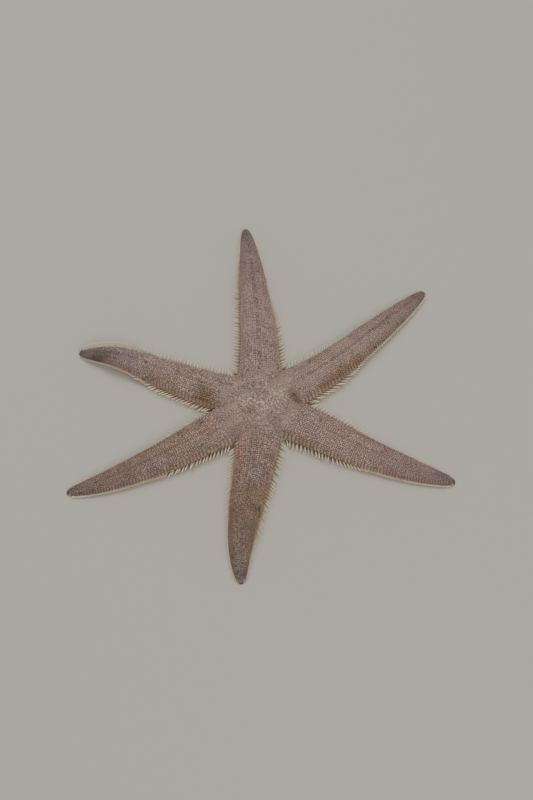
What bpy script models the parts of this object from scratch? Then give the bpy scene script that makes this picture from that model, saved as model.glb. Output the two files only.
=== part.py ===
"""A six-armed sand star of the genus Luidia, life size, lying on its underside.

Metres, +Z up. The origin is on the floor under the middle of the star's box. The arms are counted
clockwise, seen from above, from the one that points along +Y. Each arm is three lengths and a tip
plate, and the disc carries the madreporite and the mouth.
"""

import math
import random

import bmesh
import bpy
import numpy as np

MM = 0.001
CUT_GAP = 0.3 * MM

# Where the mouth stands, so that the origin is under the middle of the whole star
DISC_CENTRE = (-0.2 * MM, -5.6 * MM)

# The body: full width and height where the arms leave the disc, and what the disc rises above that
ARM_WIDTH = 18.6 * MM
ARM_HEIGHT = 8.8 * MM
DISC_RISE = 0.8 * MM
DISC_RISE_RADIUS = 11.0 * MM
SHOULDER = 21.8 * MM
WIDTH_POWERS = (1.2, 0.45)
HEIGHT_POWERS = (1.5, 0.45)
TOP_ROUNDNESS = 2.3
EDGE_SHARE = 0.27
FLANK_HEIGHT_SHARE = 0.4
FLANK_INSET_SHARE = 0.35
UNDER_INSET_SHARE = 0.12
FLARE_FADE = 5.0 * MM

# The groove along the underside of each arm
GROOVE_HALF_WIDTH = 1.8 * MM
GROOVE_DEPTH = 1.8 * MM
GROOVE_WIDTH_SHARE = 0.3
GROOVE_HEIGHT_SHARE = 0.28
GROOVE_SHAPE = ((1.0, 0.0), (0.55, 0.8), (0.0, 1.0))

# Each arm: its length from the mouth, the heading of its midline in degrees at four shares of that
# length, its girth against the others, and how far its outer part is lifted and rolled
HEADING_SHARES = (0.24, 0.46, 0.70, 1.00)
ARMS = (
    {"length": 104.6 * MM, "headings": (91.4, 94.8, 95.9, 98.0), "girth": 1.00},
    {"length": 103.8 * MM, "headings": (31.8, 43.0, 43.4, 46.6), "girth": 1.03},
    {"length": 98.8 * MM, "headings": (-28.6, -28.4, -22.0, -13.5), "girth": 1.08},
    {"length": 93.6 * MM, "headings": (-94.8, -100.9, -97.6, -84.1), "girth": 1.04},
    {"length": 101.2 * MM, "headings": (-146.3, -149.8, -154.8, -167.0), "girth": 1.03},
    {"length": 92.4 * MM, "headings": (160.9, 156.4, 158.0, 171.0), "girth": 1.01,
     "lift": 3.0 * MM, "roll": 30.0},
)
CURL_START = 0.58
CURL_LIFT_POWER = 1.2

# How far from the mouth the notch lies between each arm and the next one clockwise
NOTCHES = (20.6 * MM, 20.5 * MM, 20.2 * MM, 24.1 * MM, 21.5 * MM, 18.8 * MM)

# Where each arm is parted: from the disc, into its three lengths, and from its tip plate
DISC_REACH = 25.0 * MM
LENGTH_SHARES = (0.48, 0.73)
TIP_PLATE = 1.7 * MM

# Grid of the surfaces
TOP_COLUMNS = 5
NOTCH_ROW = 6
DISC_ROWS = 8
MIDLINE_AT_NOTCH = 20.0 * MM
ROW_PITCH = 5.0 * MM
TIP_ROWS = (TIP_PLATE - CUT_GAP / 2, 1.2 * MM, 0.7 * MM, 0.3 * MM, 0.08 * MM)
TIP_POINT_HEIGHT = 0.2 * MM
MIDLINE_STEPS = 401
MERGE_DISTANCE = 0.002 * MM
SHORTEST_EDGE = 0.001 * MM

# The row of spines along each side of each arm
SPINE_PITCH = 2.1 * MM
SPINE_LENGTH = 3.7 * MM
SPINE_ROOT_SINK = 0.9 * MM
SPINE_ROOT_HEIGHT_SHARE = 0.75
SPINE_HALF_WIDTH = 0.40 * MM
SPINE_TIP_HEIGHT = 1.1 * MM
SPINE_TIP_SHARE = 0.6
SPINE_CLEARANCE = 0.35 * MM
SPINE_FLATNESS = 0.85
SPINE_SHAPE = ((0.0, 1.0), (0.62, 0.72))
SPINE_THINNING = 0.3
SPINE_SHORTENING = 0.55
SPINE_SHORTENING_POWER = 1.3
SPINE_LEAN = 16.0
SPINE_LEAN_AT_TIP = 58.0
SPINE_LEAN_POWER = 1.5
SPINE_LEAN_SPREAD = 4.0
SPINE_LENGTH_SPREAD = (0.93, 1.05)
SPINE_START = 1.2 * MM
SPINE_END = 2.6 * MM
SPINE_CLEAR_BEFORE = 0.55 * MM
SPINE_CLEAR_AFTER = 0.75 * MM
SPINE_SEED = 6

# The mouth and the madreporite
MOUTH_RADIUS = 4.6 * MM
MOUTH_FLOOR = 0.4 * MM
MOUTH_HEIGHT = 2.4 * MM
MOUTH_HOLE = 2.3 * MM
MOUTH_SIDES = 48
BORE_SIDES = 24
JAW_REACH = 1.1 * MM
JAW_HALF_TURN = 24.0
MADREPORITE_RADIUS = 1.5 * MM
MADREPORITE_SIDES = 16
MADREPORITE_HEIGHT = 1.4 * MM
MADREPORITE_TOP = 8.6 * MM
MADREPORITE_PLACE = (11.0 * MM, 62.0)
POCKET_CUT_ABOVE = 3.0 * MM


def clear_scene():
    """Remove whatever the file opened with."""
    for thing in list(bpy.data.objects):
        bpy.data.objects.remove(thing)


def make_material(name, colour, roughness):
    """A plain finish in the animal's own colour."""
    material = bpy.data.materials.new(name)
    material.use_nodes = True
    shader = material.node_tree.nodes["Principled BSDF"]
    shader.inputs["Base Color"].default_value = (*colour, 1.0)
    shader.inputs["Roughness"].default_value = roughness
    shader.inputs["Metallic"].default_value = 0.0
    material.diffuse_color = (*colour, 1.0)
    return material


def fade(share, powers):
    """A shoulder that holds its size, then closes to nothing at share 1 with a round end."""
    inner, outer = powers
    return (1.0 - np.clip(share, 0.0, 1.0) ** inner) ** outer


class Arm:
    """One arm: its midline over the floor and the outline of its sections."""

    def __init__(self, index):
        facts = ARMS[index]
        self.name = f"arm_{index + 1}"
        self.length = facts["length"]
        self.girth = facts["girth"]
        self.lift = facts.get("lift", 0.0)
        self.roll = math.radians(facts.get("roll", 0.0))
        self.base_heading = math.radians(facts["headings"][0])
        self.steps = np.linspace(0.0, self.length, MIDLINE_STEPS)
        self.turns = np.radians(np.interp(self.steps / self.length, HEADING_SHARES, facts["headings"]))
        between = (self.turns[1:] + self.turns[:-1]) / 2
        pace = self.length / (MIDLINE_STEPS - 1)
        self.path_x = DISC_CENTRE[0] + np.append(0.0, np.cumsum(np.cos(between) * pace))
        self.path_y = DISC_CENTRE[1] + np.append(0.0, np.cumsum(np.sin(between) * pace))
        count = len(ARMS)
        left = ARMS[index - 1]["headings"][0] - facts["headings"][0]
        right = facts["headings"][0] - ARMS[(index + 1) % count]["headings"][0]
        self.half_angle = {1: math.radians(left % 360) / 2, -1: math.radians(right % 360) / 2}
        self.notch = {1: NOTCHES[index - 1], -1: NOTCHES[index]}

    def notch_reach(self, side):
        """How far along the midline the notch on one side lies."""
        return self.notch[side] * math.cos(self.half_angle[side])

    def notch_width(self, side):
        """Half width of the arm at that notch."""
        return self.notch[side] * math.sin(self.half_angle[side])

    def outward(self, reach):
        """Share of the free arm that a distance along the midline stands for."""
        return (reach - SHOULDER) / (self.length - SHOULDER)

    def half_width(self, side, reach):
        """Half width on one side: the arm's own taper, with a flare that meets the notch."""
        own = ARM_WIDTH / 2 * self.girth
        taper = own * fade(self.outward(reach), WIDTH_POWERS)
        past = max(reach - self.notch_reach(side), 0.0)
        flare = (self.notch_width(side) - own) * math.exp(-past / FLARE_FADE)
        return float(taper + flare * fade(self.outward(reach), WIDTH_POWERS))

    def height(self, reach):
        """Height of the arm's back over its underside."""
        return float(ARM_HEIGHT * fade(self.outward(reach), HEIGHT_POWERS))

    def curl(self, reach):
        """Lift and roll of the outer part: none where the arm lies flat."""
        share = np.clip((reach / self.length - CURL_START) / (1.0 - CURL_START), 0.0, 1.0)
        lift = self.lift * math.sin(math.pi * share) ** CURL_LIFT_POWER
        smooth_step = 3 * share ** 2 - 2 * share ** 3
        return lift, self.roll * smooth_step

    def place(self, reach, across, up):
        """World point of a place in the arm's section: across to the left, up from the floor."""
        x = np.interp(reach, self.steps, self.path_x)
        y = np.interp(reach, self.steps, self.path_y)
        turn = np.interp(reach, self.steps, self.turns)
        lift, roll = self.curl(reach)
        pivot = self.half_width(1, reach) * (1.0 - UNDER_INSET_SHARE)
        from_pivot = pivot - across
        across = pivot - from_pivot * math.cos(roll) + up * math.sin(roll)
        up = from_pivot * math.sin(roll) + up * math.cos(roll) + lift
        return (float(x - across * math.sin(turn)), float(y + across * math.cos(turn)), float(up))


def column_shares():
    """Where the back's columns stand across a half section, closer together down its side."""
    turns = np.linspace(0.0, math.pi / 2, TOP_COLUMNS + 1)
    return np.sin(turns) ** (2.0 / TOP_ROUNDNESS)


def back_height(height, share):
    """Height of the back at a share of the half width: flat on top, steep at the side."""
    edge = height * EDGE_SHARE
    return edge + (height - edge) * (1.0 - min(share, 1.0) ** TOP_ROUNDNESS) ** (1.0 / TOP_ROUNDNESS)


def groove_size(half_width, height):
    """Half width and depth of the groove under a section."""
    width = min(GROOVE_HALF_WIDTH, GROOVE_WIDTH_SHARE * half_width)
    depth = min(GROOVE_DEPTH, GROOVE_HEIGHT_SHARE * height)
    return width, depth


def flank(half_width, inset, height):
    """The two places below a section's edge, where the side turns under to the floor."""
    middle = (half_width - FLANK_INSET_SHARE * inset, height * EDGE_SHARE * FLANK_HEIGHT_SHARE)
    return [middle, (half_width - inset, 0.0)]


def half_section(arm, side, reach):
    """Points of one half of a free section, from the top of the back round to the groove."""
    half = arm.half_width(side, reach)
    height = arm.height(reach)
    groove, depth = groove_size(half, height)
    points = [(share * half, back_height(height, share)) for share in column_shares()]
    points += flank(half, half * UNDER_INSET_SHARE, height)
    points += [(share * groove, rise * depth) for share, rise in GROOVE_SHAPE]
    return [arm.place(reach, side * across, up) for across, up in points]


def section_ring(arm, reach):
    """The whole outline of a free section, as one closed ring of points."""
    left = half_section(arm, 1, reach)
    right = half_section(arm, -1, reach)
    return left + right[-2:0:-1]


def mesh_object(name, points, faces, material):
    """A mesh object from points and faces, with doubles merged and its faces turned outward."""
    mesh = bpy.data.meshes.new(name)
    mesh.from_pydata(points, [], faces)
    grid = bmesh.new()
    grid.from_mesh(mesh)
    bmesh.ops.remove_doubles(grid, verts=grid.verts, dist=MERGE_DISTANCE)
    bmesh.ops.dissolve_degenerate(grid, edges=grid.edges, dist=SHORTEST_EDGE)
    bmesh.ops.recalc_face_normals(grid, faces=grid.faces)
    grid.to_mesh(mesh)
    grid.free()
    mesh.materials.append(material)
    thing = bpy.data.objects.new(name, mesh)
    bpy.context.scene.collection.objects.link(thing)
    return thing


def loft(name, rings, material, pole=None):
    """Skin a row of rings, closed with a face at each end or with a pole point at the far end."""
    count = len(rings[0])
    points = [point for ring in rings for point in ring]
    faces = [tuple(range(count))]
    for row in range(len(rings) - 1):
        for col in range(count):
            here = row * count + col
            beside = row * count + (col + 1) % count
            faces.append((here, beside, beside + count, here + count))
    last = (len(rings) - 1) * count
    if pole is None:
        faces.append(tuple(range(last, last + count)))
    else:
        points.append(pole)
        faces += [(last + col, last + (col + 1) % count, len(points) - 1) for col in range(count)]
    return mesh_object(name, points, faces, material)


def disc_half_rows(arm, side):
    """Rows of points over one half of an arm's share of the disc, from the mouth to the cut."""
    half_angle = arm.half_angle[side]
    notch_reach = arm.notch_reach(side)
    notch_width = arm.notch_width(side)
    cut = DISC_REACH - CUT_GAP / 2
    rows = []
    for row in range(DISC_ROWS + 1):
        inner = min(row / NOTCH_ROW, 1.0)
        past = max(row - NOTCH_ROW, 0) / (DISC_ROWS - NOTCH_ROW)
        side_reach = notch_reach * inner + (cut - notch_reach) * past
        mid_reach = MIDLINE_AT_NOTCH * inner + (cut - MIDLINE_AT_NOTCH) * past
        if row < NOTCH_ROW:
            half, full = side_reach * math.tan(half_angle), notch_width
            inset = 0.0
        else:
            half = full = arm.half_width(side, side_reach)
            inset = half * UNDER_INSET_SHARE * past
        spread = inner ** 2 * column_shares() + (1.0 - inner ** 2) * np.linspace(0.0, 1.0, TOP_COLUMNS + 1)
        heights = [arm.height(mid_reach + (side_reach - mid_reach) * share) for share in spread]
        section = [(share * half, back_height(height, share * half / full))
                   for share, height in zip(spread, heights)]
        groove, depth = groove_size(half, heights[0])
        depth *= inner
        section += flank(half, inset, heights[-1])
        section += [(share * groove, rise * depth) for share, rise in GROOVE_SHAPE]
        points = []
        for across, up in section:
            share = across / half if half > 0 else 0.0
            reach = mid_reach + (side_reach - mid_reach) * share
            x, y, z = arm.place(reach, side * across, up)
            from_mouth = math.hypot(x - DISC_CENTRE[0], y - DISC_CENTRE[1])
            rise = DISC_RISE * math.exp(-(from_mouth / DISC_RISE_RADIUS) ** 2) if up > GROOVE_DEPTH else 0.0
            points.append((x, y, z + rise))
        rows.append(points)
    return rows


def make_disc(arms, material):
    """The disc, from six shares that meet along the lines to the notches, with a stub of each arm."""
    points = []
    faces = []
    for arm in arms:
        halves = {side: disc_half_rows(arm, side) for side in (1, -1)}
        for side, rows in halves.items():
            for row in range(DISC_ROWS):
                for col in range(len(rows[0]) - 1):
                    on_flank = TOP_COLUMNS <= col < TOP_COLUMNS + 2
                    if on_flank and row < NOTCH_ROW:
                        continue
                    corners = [rows[row][col], rows[row][col + 1], rows[row + 1][col + 1], rows[row + 1][col]]
                    faces.append(tuple(range(len(points), len(points) + 4)))
                    points += corners
        cap = halves[1][-1] + halves[-1][-1][-2:0:-1]
        faces.append(tuple(range(len(points), len(points) + len(cap))))
        points += cap
    return mesh_object("disc", points, faces, material)


def turned_piece(name, outline, centre, height_range, material):
    """An upright prism whose outline radius is a function of the angle round its centre."""
    low, high = height_range
    rings = []
    for level in (low, high):
        ring = [(centre[0] + radius * math.cos(turn), centre[1] + radius * math.sin(turn), level)
                for turn, radius in outline]
        rings.append(ring)
    return loft(name, rings, material)


def circle(radius, sides):
    """Outline of a round prism."""
    return [(2 * math.pi * step / sides, radius) for step in range(sides)]


def apply_boolean(thing, operation, cutters, solver="EXACT"):
    """Join or cut with a collection of closed meshes, keep the result and remove the meshes."""
    group = bpy.data.collections.new(f"{thing.name}_pieces")
    for cutter in cutters:
        bpy.context.scene.collection.objects.unlink(cutter)
        group.objects.link(cutter)
    bpy.context.scene.collection.children.link(group)
    joint = thing.modifiers.new("join", "BOOLEAN")
    joint.operation = operation
    joint.solver = solver
    joint.operand_type = "COLLECTION"
    joint.collection = group
    if solver == "EXACT":
        joint.material_mode = "TRANSFER"
    evaluated = thing.evaluated_get(bpy.context.evaluated_depsgraph_get())
    mesh = bpy.data.meshes.new_from_object(evaluated)
    thing.modifiers.clear()
    thing.data = mesh
    for cutter in cutters:
        bpy.data.objects.remove(cutter)
    bpy.data.collections.remove(group)
    keep_largest_surface(thing)


def keep_largest_surface(thing):
    """Drop every closed surface of a mesh but the one with the most faces."""
    grid = bmesh.new()
    grid.from_mesh(thing.data)
    unseen = set(grid.faces)
    surfaces = []
    while unseen:
        start = unseen.pop()
        surface = {start}
        front = [start]
        while front:
            face = front.pop()
            for edge in face.edges:
                for other in edge.link_faces:
                    if other in unseen:
                        unseen.remove(other)
                        surface.add(other)
                        front.append(other)
        surfaces.append(surface)
    surfaces.sort(key=len)
    loose = [face for surface in surfaces[:-1] for face in surface]
    bmesh.ops.delete(grid, geom=loose, context="FACES")
    grid.to_mesh(thing.data)
    grid.free()


def arm_length(arm, name, start, end, material):
    """One length of an arm, between two cuts across its midline."""
    rows = max(2, round((end - start) / ROW_PITCH) + 1)
    rings = [section_ring(arm, reach) for reach in np.linspace(start, end, rows)]
    return loft(name, rings, material)


def arm_tip(arm, material):
    """The plate that closes the end of an arm."""
    rings = [section_ring(arm, arm.length - back) for back in TIP_ROWS]
    pole = arm.place(arm.length, 0.0, TIP_POINT_HEIGHT)
    return loft(f"{arm.name}_tip", rings, material, pole)


def spine_line(arm, side, reach, draw):
    """Root, tip and half width of a spine at a distance along one side, as places in sections."""
    half = arm.half_width(side, reach)
    edge = arm.height(reach) * EDGE_SHARE
    outward = float(np.clip(arm.outward(reach), 0.0, 1.0))
    lean = SPINE_LEAN + (SPINE_LEAN_AT_TIP - SPINE_LEAN) * outward ** SPINE_LEAN_POWER
    lean += draw.uniform(-SPINE_LEAN_SPREAD, SPINE_LEAN_SPREAD)
    along_notch = math.pi / 2 - arm.half_angle[side]
    past = reach - arm.notch_reach(side)
    lean = max(math.radians(lean), along_notch * math.exp(-past / FLARE_FADE))
    shortening = 1.0 - SPINE_SHORTENING * outward ** SPINE_SHORTENING_POWER
    length = SPINE_LENGTH * shortening * draw.uniform(*SPINE_LENGTH_SPREAD)
    thinning = 1.0 - SPINE_THINNING * outward
    sink = SPINE_ROOT_SINK * thinning
    root = (reach, half - sink, edge * SPINE_ROOT_HEIGHT_SHARE)
    span = length + sink
    tip_height = min(SPINE_TIP_HEIGHT, SPINE_TIP_SHARE * edge)
    tip = (reach + span * math.sin(lean), half - sink + span * math.cos(lean), tip_height)
    return root, tip, SPINE_HALF_WIDTH * thinning


def make_spine(arm, side, reach, draw, material):
    """One marginal spine: four-sided, flattened a little, tapered to a blunt point."""
    root, tip, half_width = spine_line(arm, side, reach, draw)
    start = np.array(arm.place(root[0], side * root[1], root[2]))
    end = np.array(arm.place(tip[0], side * tip[1], tip[2]))
    end[2] = max(end[2], SPINE_CLEARANCE)
    along = end - start
    level = np.array((-along[1], along[0], 0.0))
    level /= np.linalg.norm(level)
    upright = np.cross(along / np.linalg.norm(along), level)
    rings = []
    for share, girth in SPINE_SHAPE:
        centre = start + along * share
        wide, thick = level * half_width * girth, upright * half_width * girth * SPINE_FLATNESS
        rings.append([tuple(centre + wide), tuple(centre + thick), tuple(centre - wide), tuple(centre - thick)])
    return loft("spine", rings, material, tuple(end))


def spine_row(arm, start, end, draw, material):
    """The spines rooted between two places along an arm, on both its sides."""
    spines = []
    for side in (1, -1):
        first = arm.notch_reach(side) + SPINE_START
        last = arm.length - SPINE_END
        count = round((last - first) / SPINE_PITCH)
        for step in range(count + 1):
            reach = first + (last - first) * step / count
            if start + SPINE_CLEAR_BEFORE < reach < end - SPINE_CLEAR_AFTER:
                spines.append(make_spine(arm, side, reach, draw, material))
    return spines


def make_star():
    """Build every node of the star."""
    clear_scene()
    skin = make_material("skin", (0.235, 0.165, 0.145), 0.62)
    plate = make_material("plate", (0.50, 0.42, 0.35), 0.55)
    arms = [Arm(index) for index in range(len(ARMS))]
    disc = make_disc(arms, skin)
    mouth_bore = turned_piece("mouth_bore", circle(MOUTH_RADIUS + CUT_GAP, BORE_SIDES), DISC_CENTRE,
                              (-MM, MOUTH_HEIGHT + 2 * CUT_GAP), skin)
    reach, heading = MADREPORITE_PLACE
    pocket_at = (DISC_CENTRE[0] + reach * math.cos(math.radians(heading)),
                 DISC_CENTRE[1] + reach * math.sin(math.radians(heading)))
    pocket = turned_piece("pocket", circle(MADREPORITE_RADIUS + CUT_GAP, MADREPORITE_SIDES), pocket_at,
                          (MADREPORITE_TOP - MADREPORITE_HEIGHT - CUT_GAP, MADREPORITE_TOP + POCKET_CUT_ABOVE),
                          skin)
    apply_boolean(disc, "DIFFERENCE", [mouth_bore, pocket])
    turned_piece("madreporite", circle(MADREPORITE_RADIUS, MADREPORITE_SIDES), pocket_at,
                 (MADREPORITE_TOP - MADREPORITE_HEIGHT, MADREPORITE_TOP), plate)
    make_mouth(arms, plate)
    draw = random.Random(SPINE_SEED)
    spines = [spine for arm in arms for spine in spine_row(arm, 0.0, DISC_REACH, draw, plate)]
    apply_boolean(disc, "UNION", spines, "MANIFOLD")
    for arm in arms:
        cuts = [DISC_REACH] + [share * arm.length for share in LENGTH_SHARES] + [arm.length - TIP_PLATE]
        for part, start, end in zip(("inner", "middle", "outer"), cuts[:-1], cuts[1:]):
            piece = arm_length(arm, f"{arm.name}_{part}", start + CUT_GAP / 2, end - CUT_GAP / 2, skin)
            apply_boolean(piece, "UNION", spine_row(arm, start, end, draw, plate), "MANIFOLD")
        arm_tip(arm, plate)


def make_mouth(arms, material):
    """The ring of jaws: a band in the disc's underside with a blunt jaw between each two arms."""
    sides = MOUTH_SIDES
    outer = []
    inner = []
    notch_turns = [arm.base_heading - arm.half_angle[-1] for arm in arms]
    for step in range(sides):
        turn = 2 * math.pi * step / sides
        nearest = min(abs((turn - jaw + math.pi) % (2 * math.pi) - math.pi) for jaw in notch_turns)
        jaw = max(0.0, 1.0 - nearest / math.radians(JAW_HALF_TURN))
        radius = MOUTH_HOLE - JAW_REACH * jaw
        outer.append((turn, MOUTH_RADIUS))
        inner.append((turn, radius))
    low, high = MOUTH_FLOOR, MOUTH_HEIGHT
    middle_x, middle_y = DISC_CENTRE
    rings = []
    for outline, level in ((outer, low), (outer, high), (inner, high), (inner, low)):
        rings.append([(middle_x + radius * math.cos(turn), middle_y + radius * math.sin(turn), level)
                      for turn, radius in outline])
    points = [point for ring in rings for point in ring]
    faces = []
    for ring in range(4):
        for step in range(sides):
            beside = (step + 1) % sides
            following = (ring + 1) % 4
            faces.append((ring * sides + step, ring * sides + beside,
                          following * sides + beside, following * sides + step))
    return mesh_object("mouth", points, faces, material)


make_star()
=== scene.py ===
import math

import bmesh
import bpy
import numpy as np
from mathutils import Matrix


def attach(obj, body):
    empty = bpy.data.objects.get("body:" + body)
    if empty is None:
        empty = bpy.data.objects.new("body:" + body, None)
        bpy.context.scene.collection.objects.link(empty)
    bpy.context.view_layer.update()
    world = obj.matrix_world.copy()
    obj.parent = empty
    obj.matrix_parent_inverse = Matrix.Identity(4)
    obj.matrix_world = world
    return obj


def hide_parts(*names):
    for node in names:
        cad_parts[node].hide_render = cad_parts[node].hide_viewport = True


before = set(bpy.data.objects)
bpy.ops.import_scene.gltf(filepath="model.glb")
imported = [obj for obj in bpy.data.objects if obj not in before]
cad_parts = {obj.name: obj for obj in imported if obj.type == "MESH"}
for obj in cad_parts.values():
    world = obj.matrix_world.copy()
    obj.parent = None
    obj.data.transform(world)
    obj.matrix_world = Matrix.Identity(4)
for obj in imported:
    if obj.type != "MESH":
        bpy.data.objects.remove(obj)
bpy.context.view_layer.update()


# The camera stands south of the star and looks down on it at the photograph's angle, from a metre
# away, aimed at the floor under the middle of the frame.
MM = 0.001
CAMERA_RISE = math.radians(58.0)
CAMERA_DISTANCE = 1000.0 * MM
CAMERA_AIM = (2.39 * MM, -1.16 * MM, 0.0)
CAMERA_LENS = 95.4
CAMERA_SENSOR = 36.0

lens = bpy.data.cameras.new("camera")
lens.lens = CAMERA_LENS
lens.sensor_width = CAMERA_SENSOR
lens.clip_start = 10.0 * MM
camera = bpy.data.objects.new("camera", lens)
camera.location = (CAMERA_AIM[0], CAMERA_AIM[1] - CAMERA_DISTANCE * math.cos(CAMERA_RISE),
                   CAMERA_DISTANCE * math.sin(CAMERA_RISE))
camera.rotation_euler = (math.pi / 2 - CAMERA_RISE, 0.0, 0.0)
bpy.context.scene.collection.objects.link(camera)
bpy.context.scene.camera = camera


# The skin. One soft hide over the disc and all six arms, rounded on the back, steep at the sides,
# flat below, with a groove under each arm that leads to the mouth. It is one closed surface, worked
# out half an arm at a time from a midline over the floor and a section across it.
DISC_CENTRE = np.array((-0.2, -5.6)) * MM
ARM_WIDTH = 18.6 * MM
ARM_HEIGHT = 8.8 * MM
DISC_RISE = 0.8 * MM
DISC_RISE_RADIUS = 11.0 * MM
SHOULDER = 21.8 * MM
WIDTH_POWERS = (1.2, 0.45)
HEIGHT_POWERS = (1.5, 0.45)
TOP_ROUNDNESS = 2.3
EDGE_SHARE = 0.27
UNDER_INSET_SHARE = 0.12
FLARE_FADE = 5.0 * MM
GROOVE_HALF_WIDTH = 1.8 * MM
GROOVE_DEPTH = 1.8 * MM
GROOVE_WIDTH_SHARE = 0.3
GROOVE_HEIGHT_SHARE = 0.28
HEADING_SHARES = (0.24, 0.46, 0.70, 1.00)
ARMS = (
    {"length": 104.6 * MM, "headings": (91.4, 94.8, 95.9, 98.0), "girth": 1.00},
    {"length": 103.8 * MM, "headings": (31.8, 43.0, 43.4, 46.6), "girth": 1.03},
    {"length": 98.8 * MM, "headings": (-28.6, -28.4, -22.0, -13.5), "girth": 1.08},
    {"length": 93.6 * MM, "headings": (-94.8, -100.9, -97.6, -84.1), "girth": 1.04},
    {"length": 101.2 * MM, "headings": (-146.3, -149.8, -154.8, -167.0), "girth": 1.03},
    {"length": 92.4 * MM, "headings": (160.9, 156.4, 158.0, 171.0), "girth": 1.01,
     "lift": 3.0 * MM, "roll": 30.0},
)
CURL_START = 0.58
CURL_LIFT_POWER = 1.2
NOTCHES = np.array((20.6, 20.5, 20.2, 24.1, 21.5, 18.8)) * MM
SIDES = (1, -1)

SKIN_DEPTH = 0.35 * MM
SKIN_DEPTH_SHARE = 0.1
SKIN_DEPTH_FADE = 3.0 * MM
SKIN_DEPTH_HEIGHT = 4.0 * MM
TIP_CLEARANCE = 0.05 * MM
UNDER_CLEARANCE = 0.3 * MM
LONG_SWELL = 0.14 * MM
SHORT_SWELL = 0.08 * MM
SWELL_SINK = 0.12 * MM
CREASE_DEPTH = 0.2 * MM
CREASE_HALF_WIDTH = 0.8 * MM
CREASE_BEGINS = (8.0 * MM, 22.0 * MM)
TOP_SHARE = 0.35
TOP_HEIGHT = 5.0 * MM
FOLD_TOP_SHARE = 0.6
MIDLINE_STEPS = 401
SMALLEST = 0.01 * MM

# The section of the back: share of the half width and share of the rise from edge to top, with
# share^2.3 + rise^2.3 = 1, and how far along the arc from the midline each of them lies.
section_turn = np.linspace(0.0, math.pi / 2, 721)
SECTION_SHARE = np.sin(section_turn) ** (2.0 / TOP_ROUNDNESS)
SECTION_RISE = np.cos(section_turn) ** (2.0 / TOP_ROUNDNESS)
section_flatness = (1.0 - EDGE_SHARE) * ARM_HEIGHT / (ARM_WIDTH / 2)
section_steps = np.hypot(np.diff(SECTION_SHARE), section_flatness * np.diff(SECTION_RISE))
SECTION_ARC = np.append(0.0, np.cumsum(section_steps))
ARC_PER_HALF_WIDTH = SECTION_ARC[-1]
SECTION_ARC = SECTION_ARC / ARC_PER_HALF_WIDTH


def ramp(value, start, end):
    """0 before start, 1 after end, and straight between them."""
    return np.clip((value - start) / (end - start), 0.0, 1.0)


def swells(points):
    """Low swells of a soft back: bent sine waves about 16 mm long, crossed, and straight ones about 6 mm
    long, crossed. Their turns are in radians a millimetre."""
    x = points[..., 0] / MM
    y = points[..., 1] / MM
    along_x = np.sin(0.41 * x + 0.9 * np.sin(0.23 * y))
    along_y = np.sin(0.37 * y + 1.3 + 0.8 * np.sin(0.19 * x))
    short_wave = np.sin(0.83 * x - 0.61 * y + 0.7) * np.sin(0.52 * x + 0.94 * y + 2.0)
    return LONG_SWELL * along_x * along_y + SHORT_SWELL * short_wave - SWELL_SINK


def blot(points, place, size, turn):
    """1 at a place and 0 away from it: exp(-(distance / size)^2) along two axes turned by an angle.
    Place and size are in millimetres and the turn in degrees."""
    turn = math.radians(turn)
    offset = points[..., :2] / MM - np.array(place)
    along = offset[..., 0] * math.cos(turn) + offset[..., 1] * math.sin(turn)
    across = offset[..., 1] * math.cos(turn) - offset[..., 0] * math.sin(turn)
    return np.exp(-(along / size[0]) ** 2 - (across / size[1]) ** 2)


# Folds and creases of the disc, each a place, a size, a turn and a depth in millimetres. The first is
# a deep fold beside the second arm, with a raised lip along its inner side.
FOLDS = (
    ((15.7, -3.5), (4.8, 2.5), -56.0, 1.3),
    ((12.8, -6.4), (4.5, 0.8), -50.0, -0.4),
    ((8.6, 7.6), (3.6, 0.5), -3.0, 0.4),
    ((4.4, 10.0), (3.8, 0.45), -32.0, 0.35),
    ((-15.4, 2.6), (5.5, 0.55), -4.0, 0.4),
    ((-12.6, 5.6), (4.5, 0.6), -8.0, -0.25),
    ((-11.0, -20.5), (3.8, 1.1), 56.0, 0.5),
    ((5.9, -19.2), (3.6, 1.1), -62.0, 0.5),
    ((17.4, -17.6), (5.5, 0.6), -14.0, 0.3),
)


def sunk(points):
    """How far the folds take the hide down."""
    return MM * sum(depth * blot(points, place, size, turn) for place, size, turn, depth in FOLDS)


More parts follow.
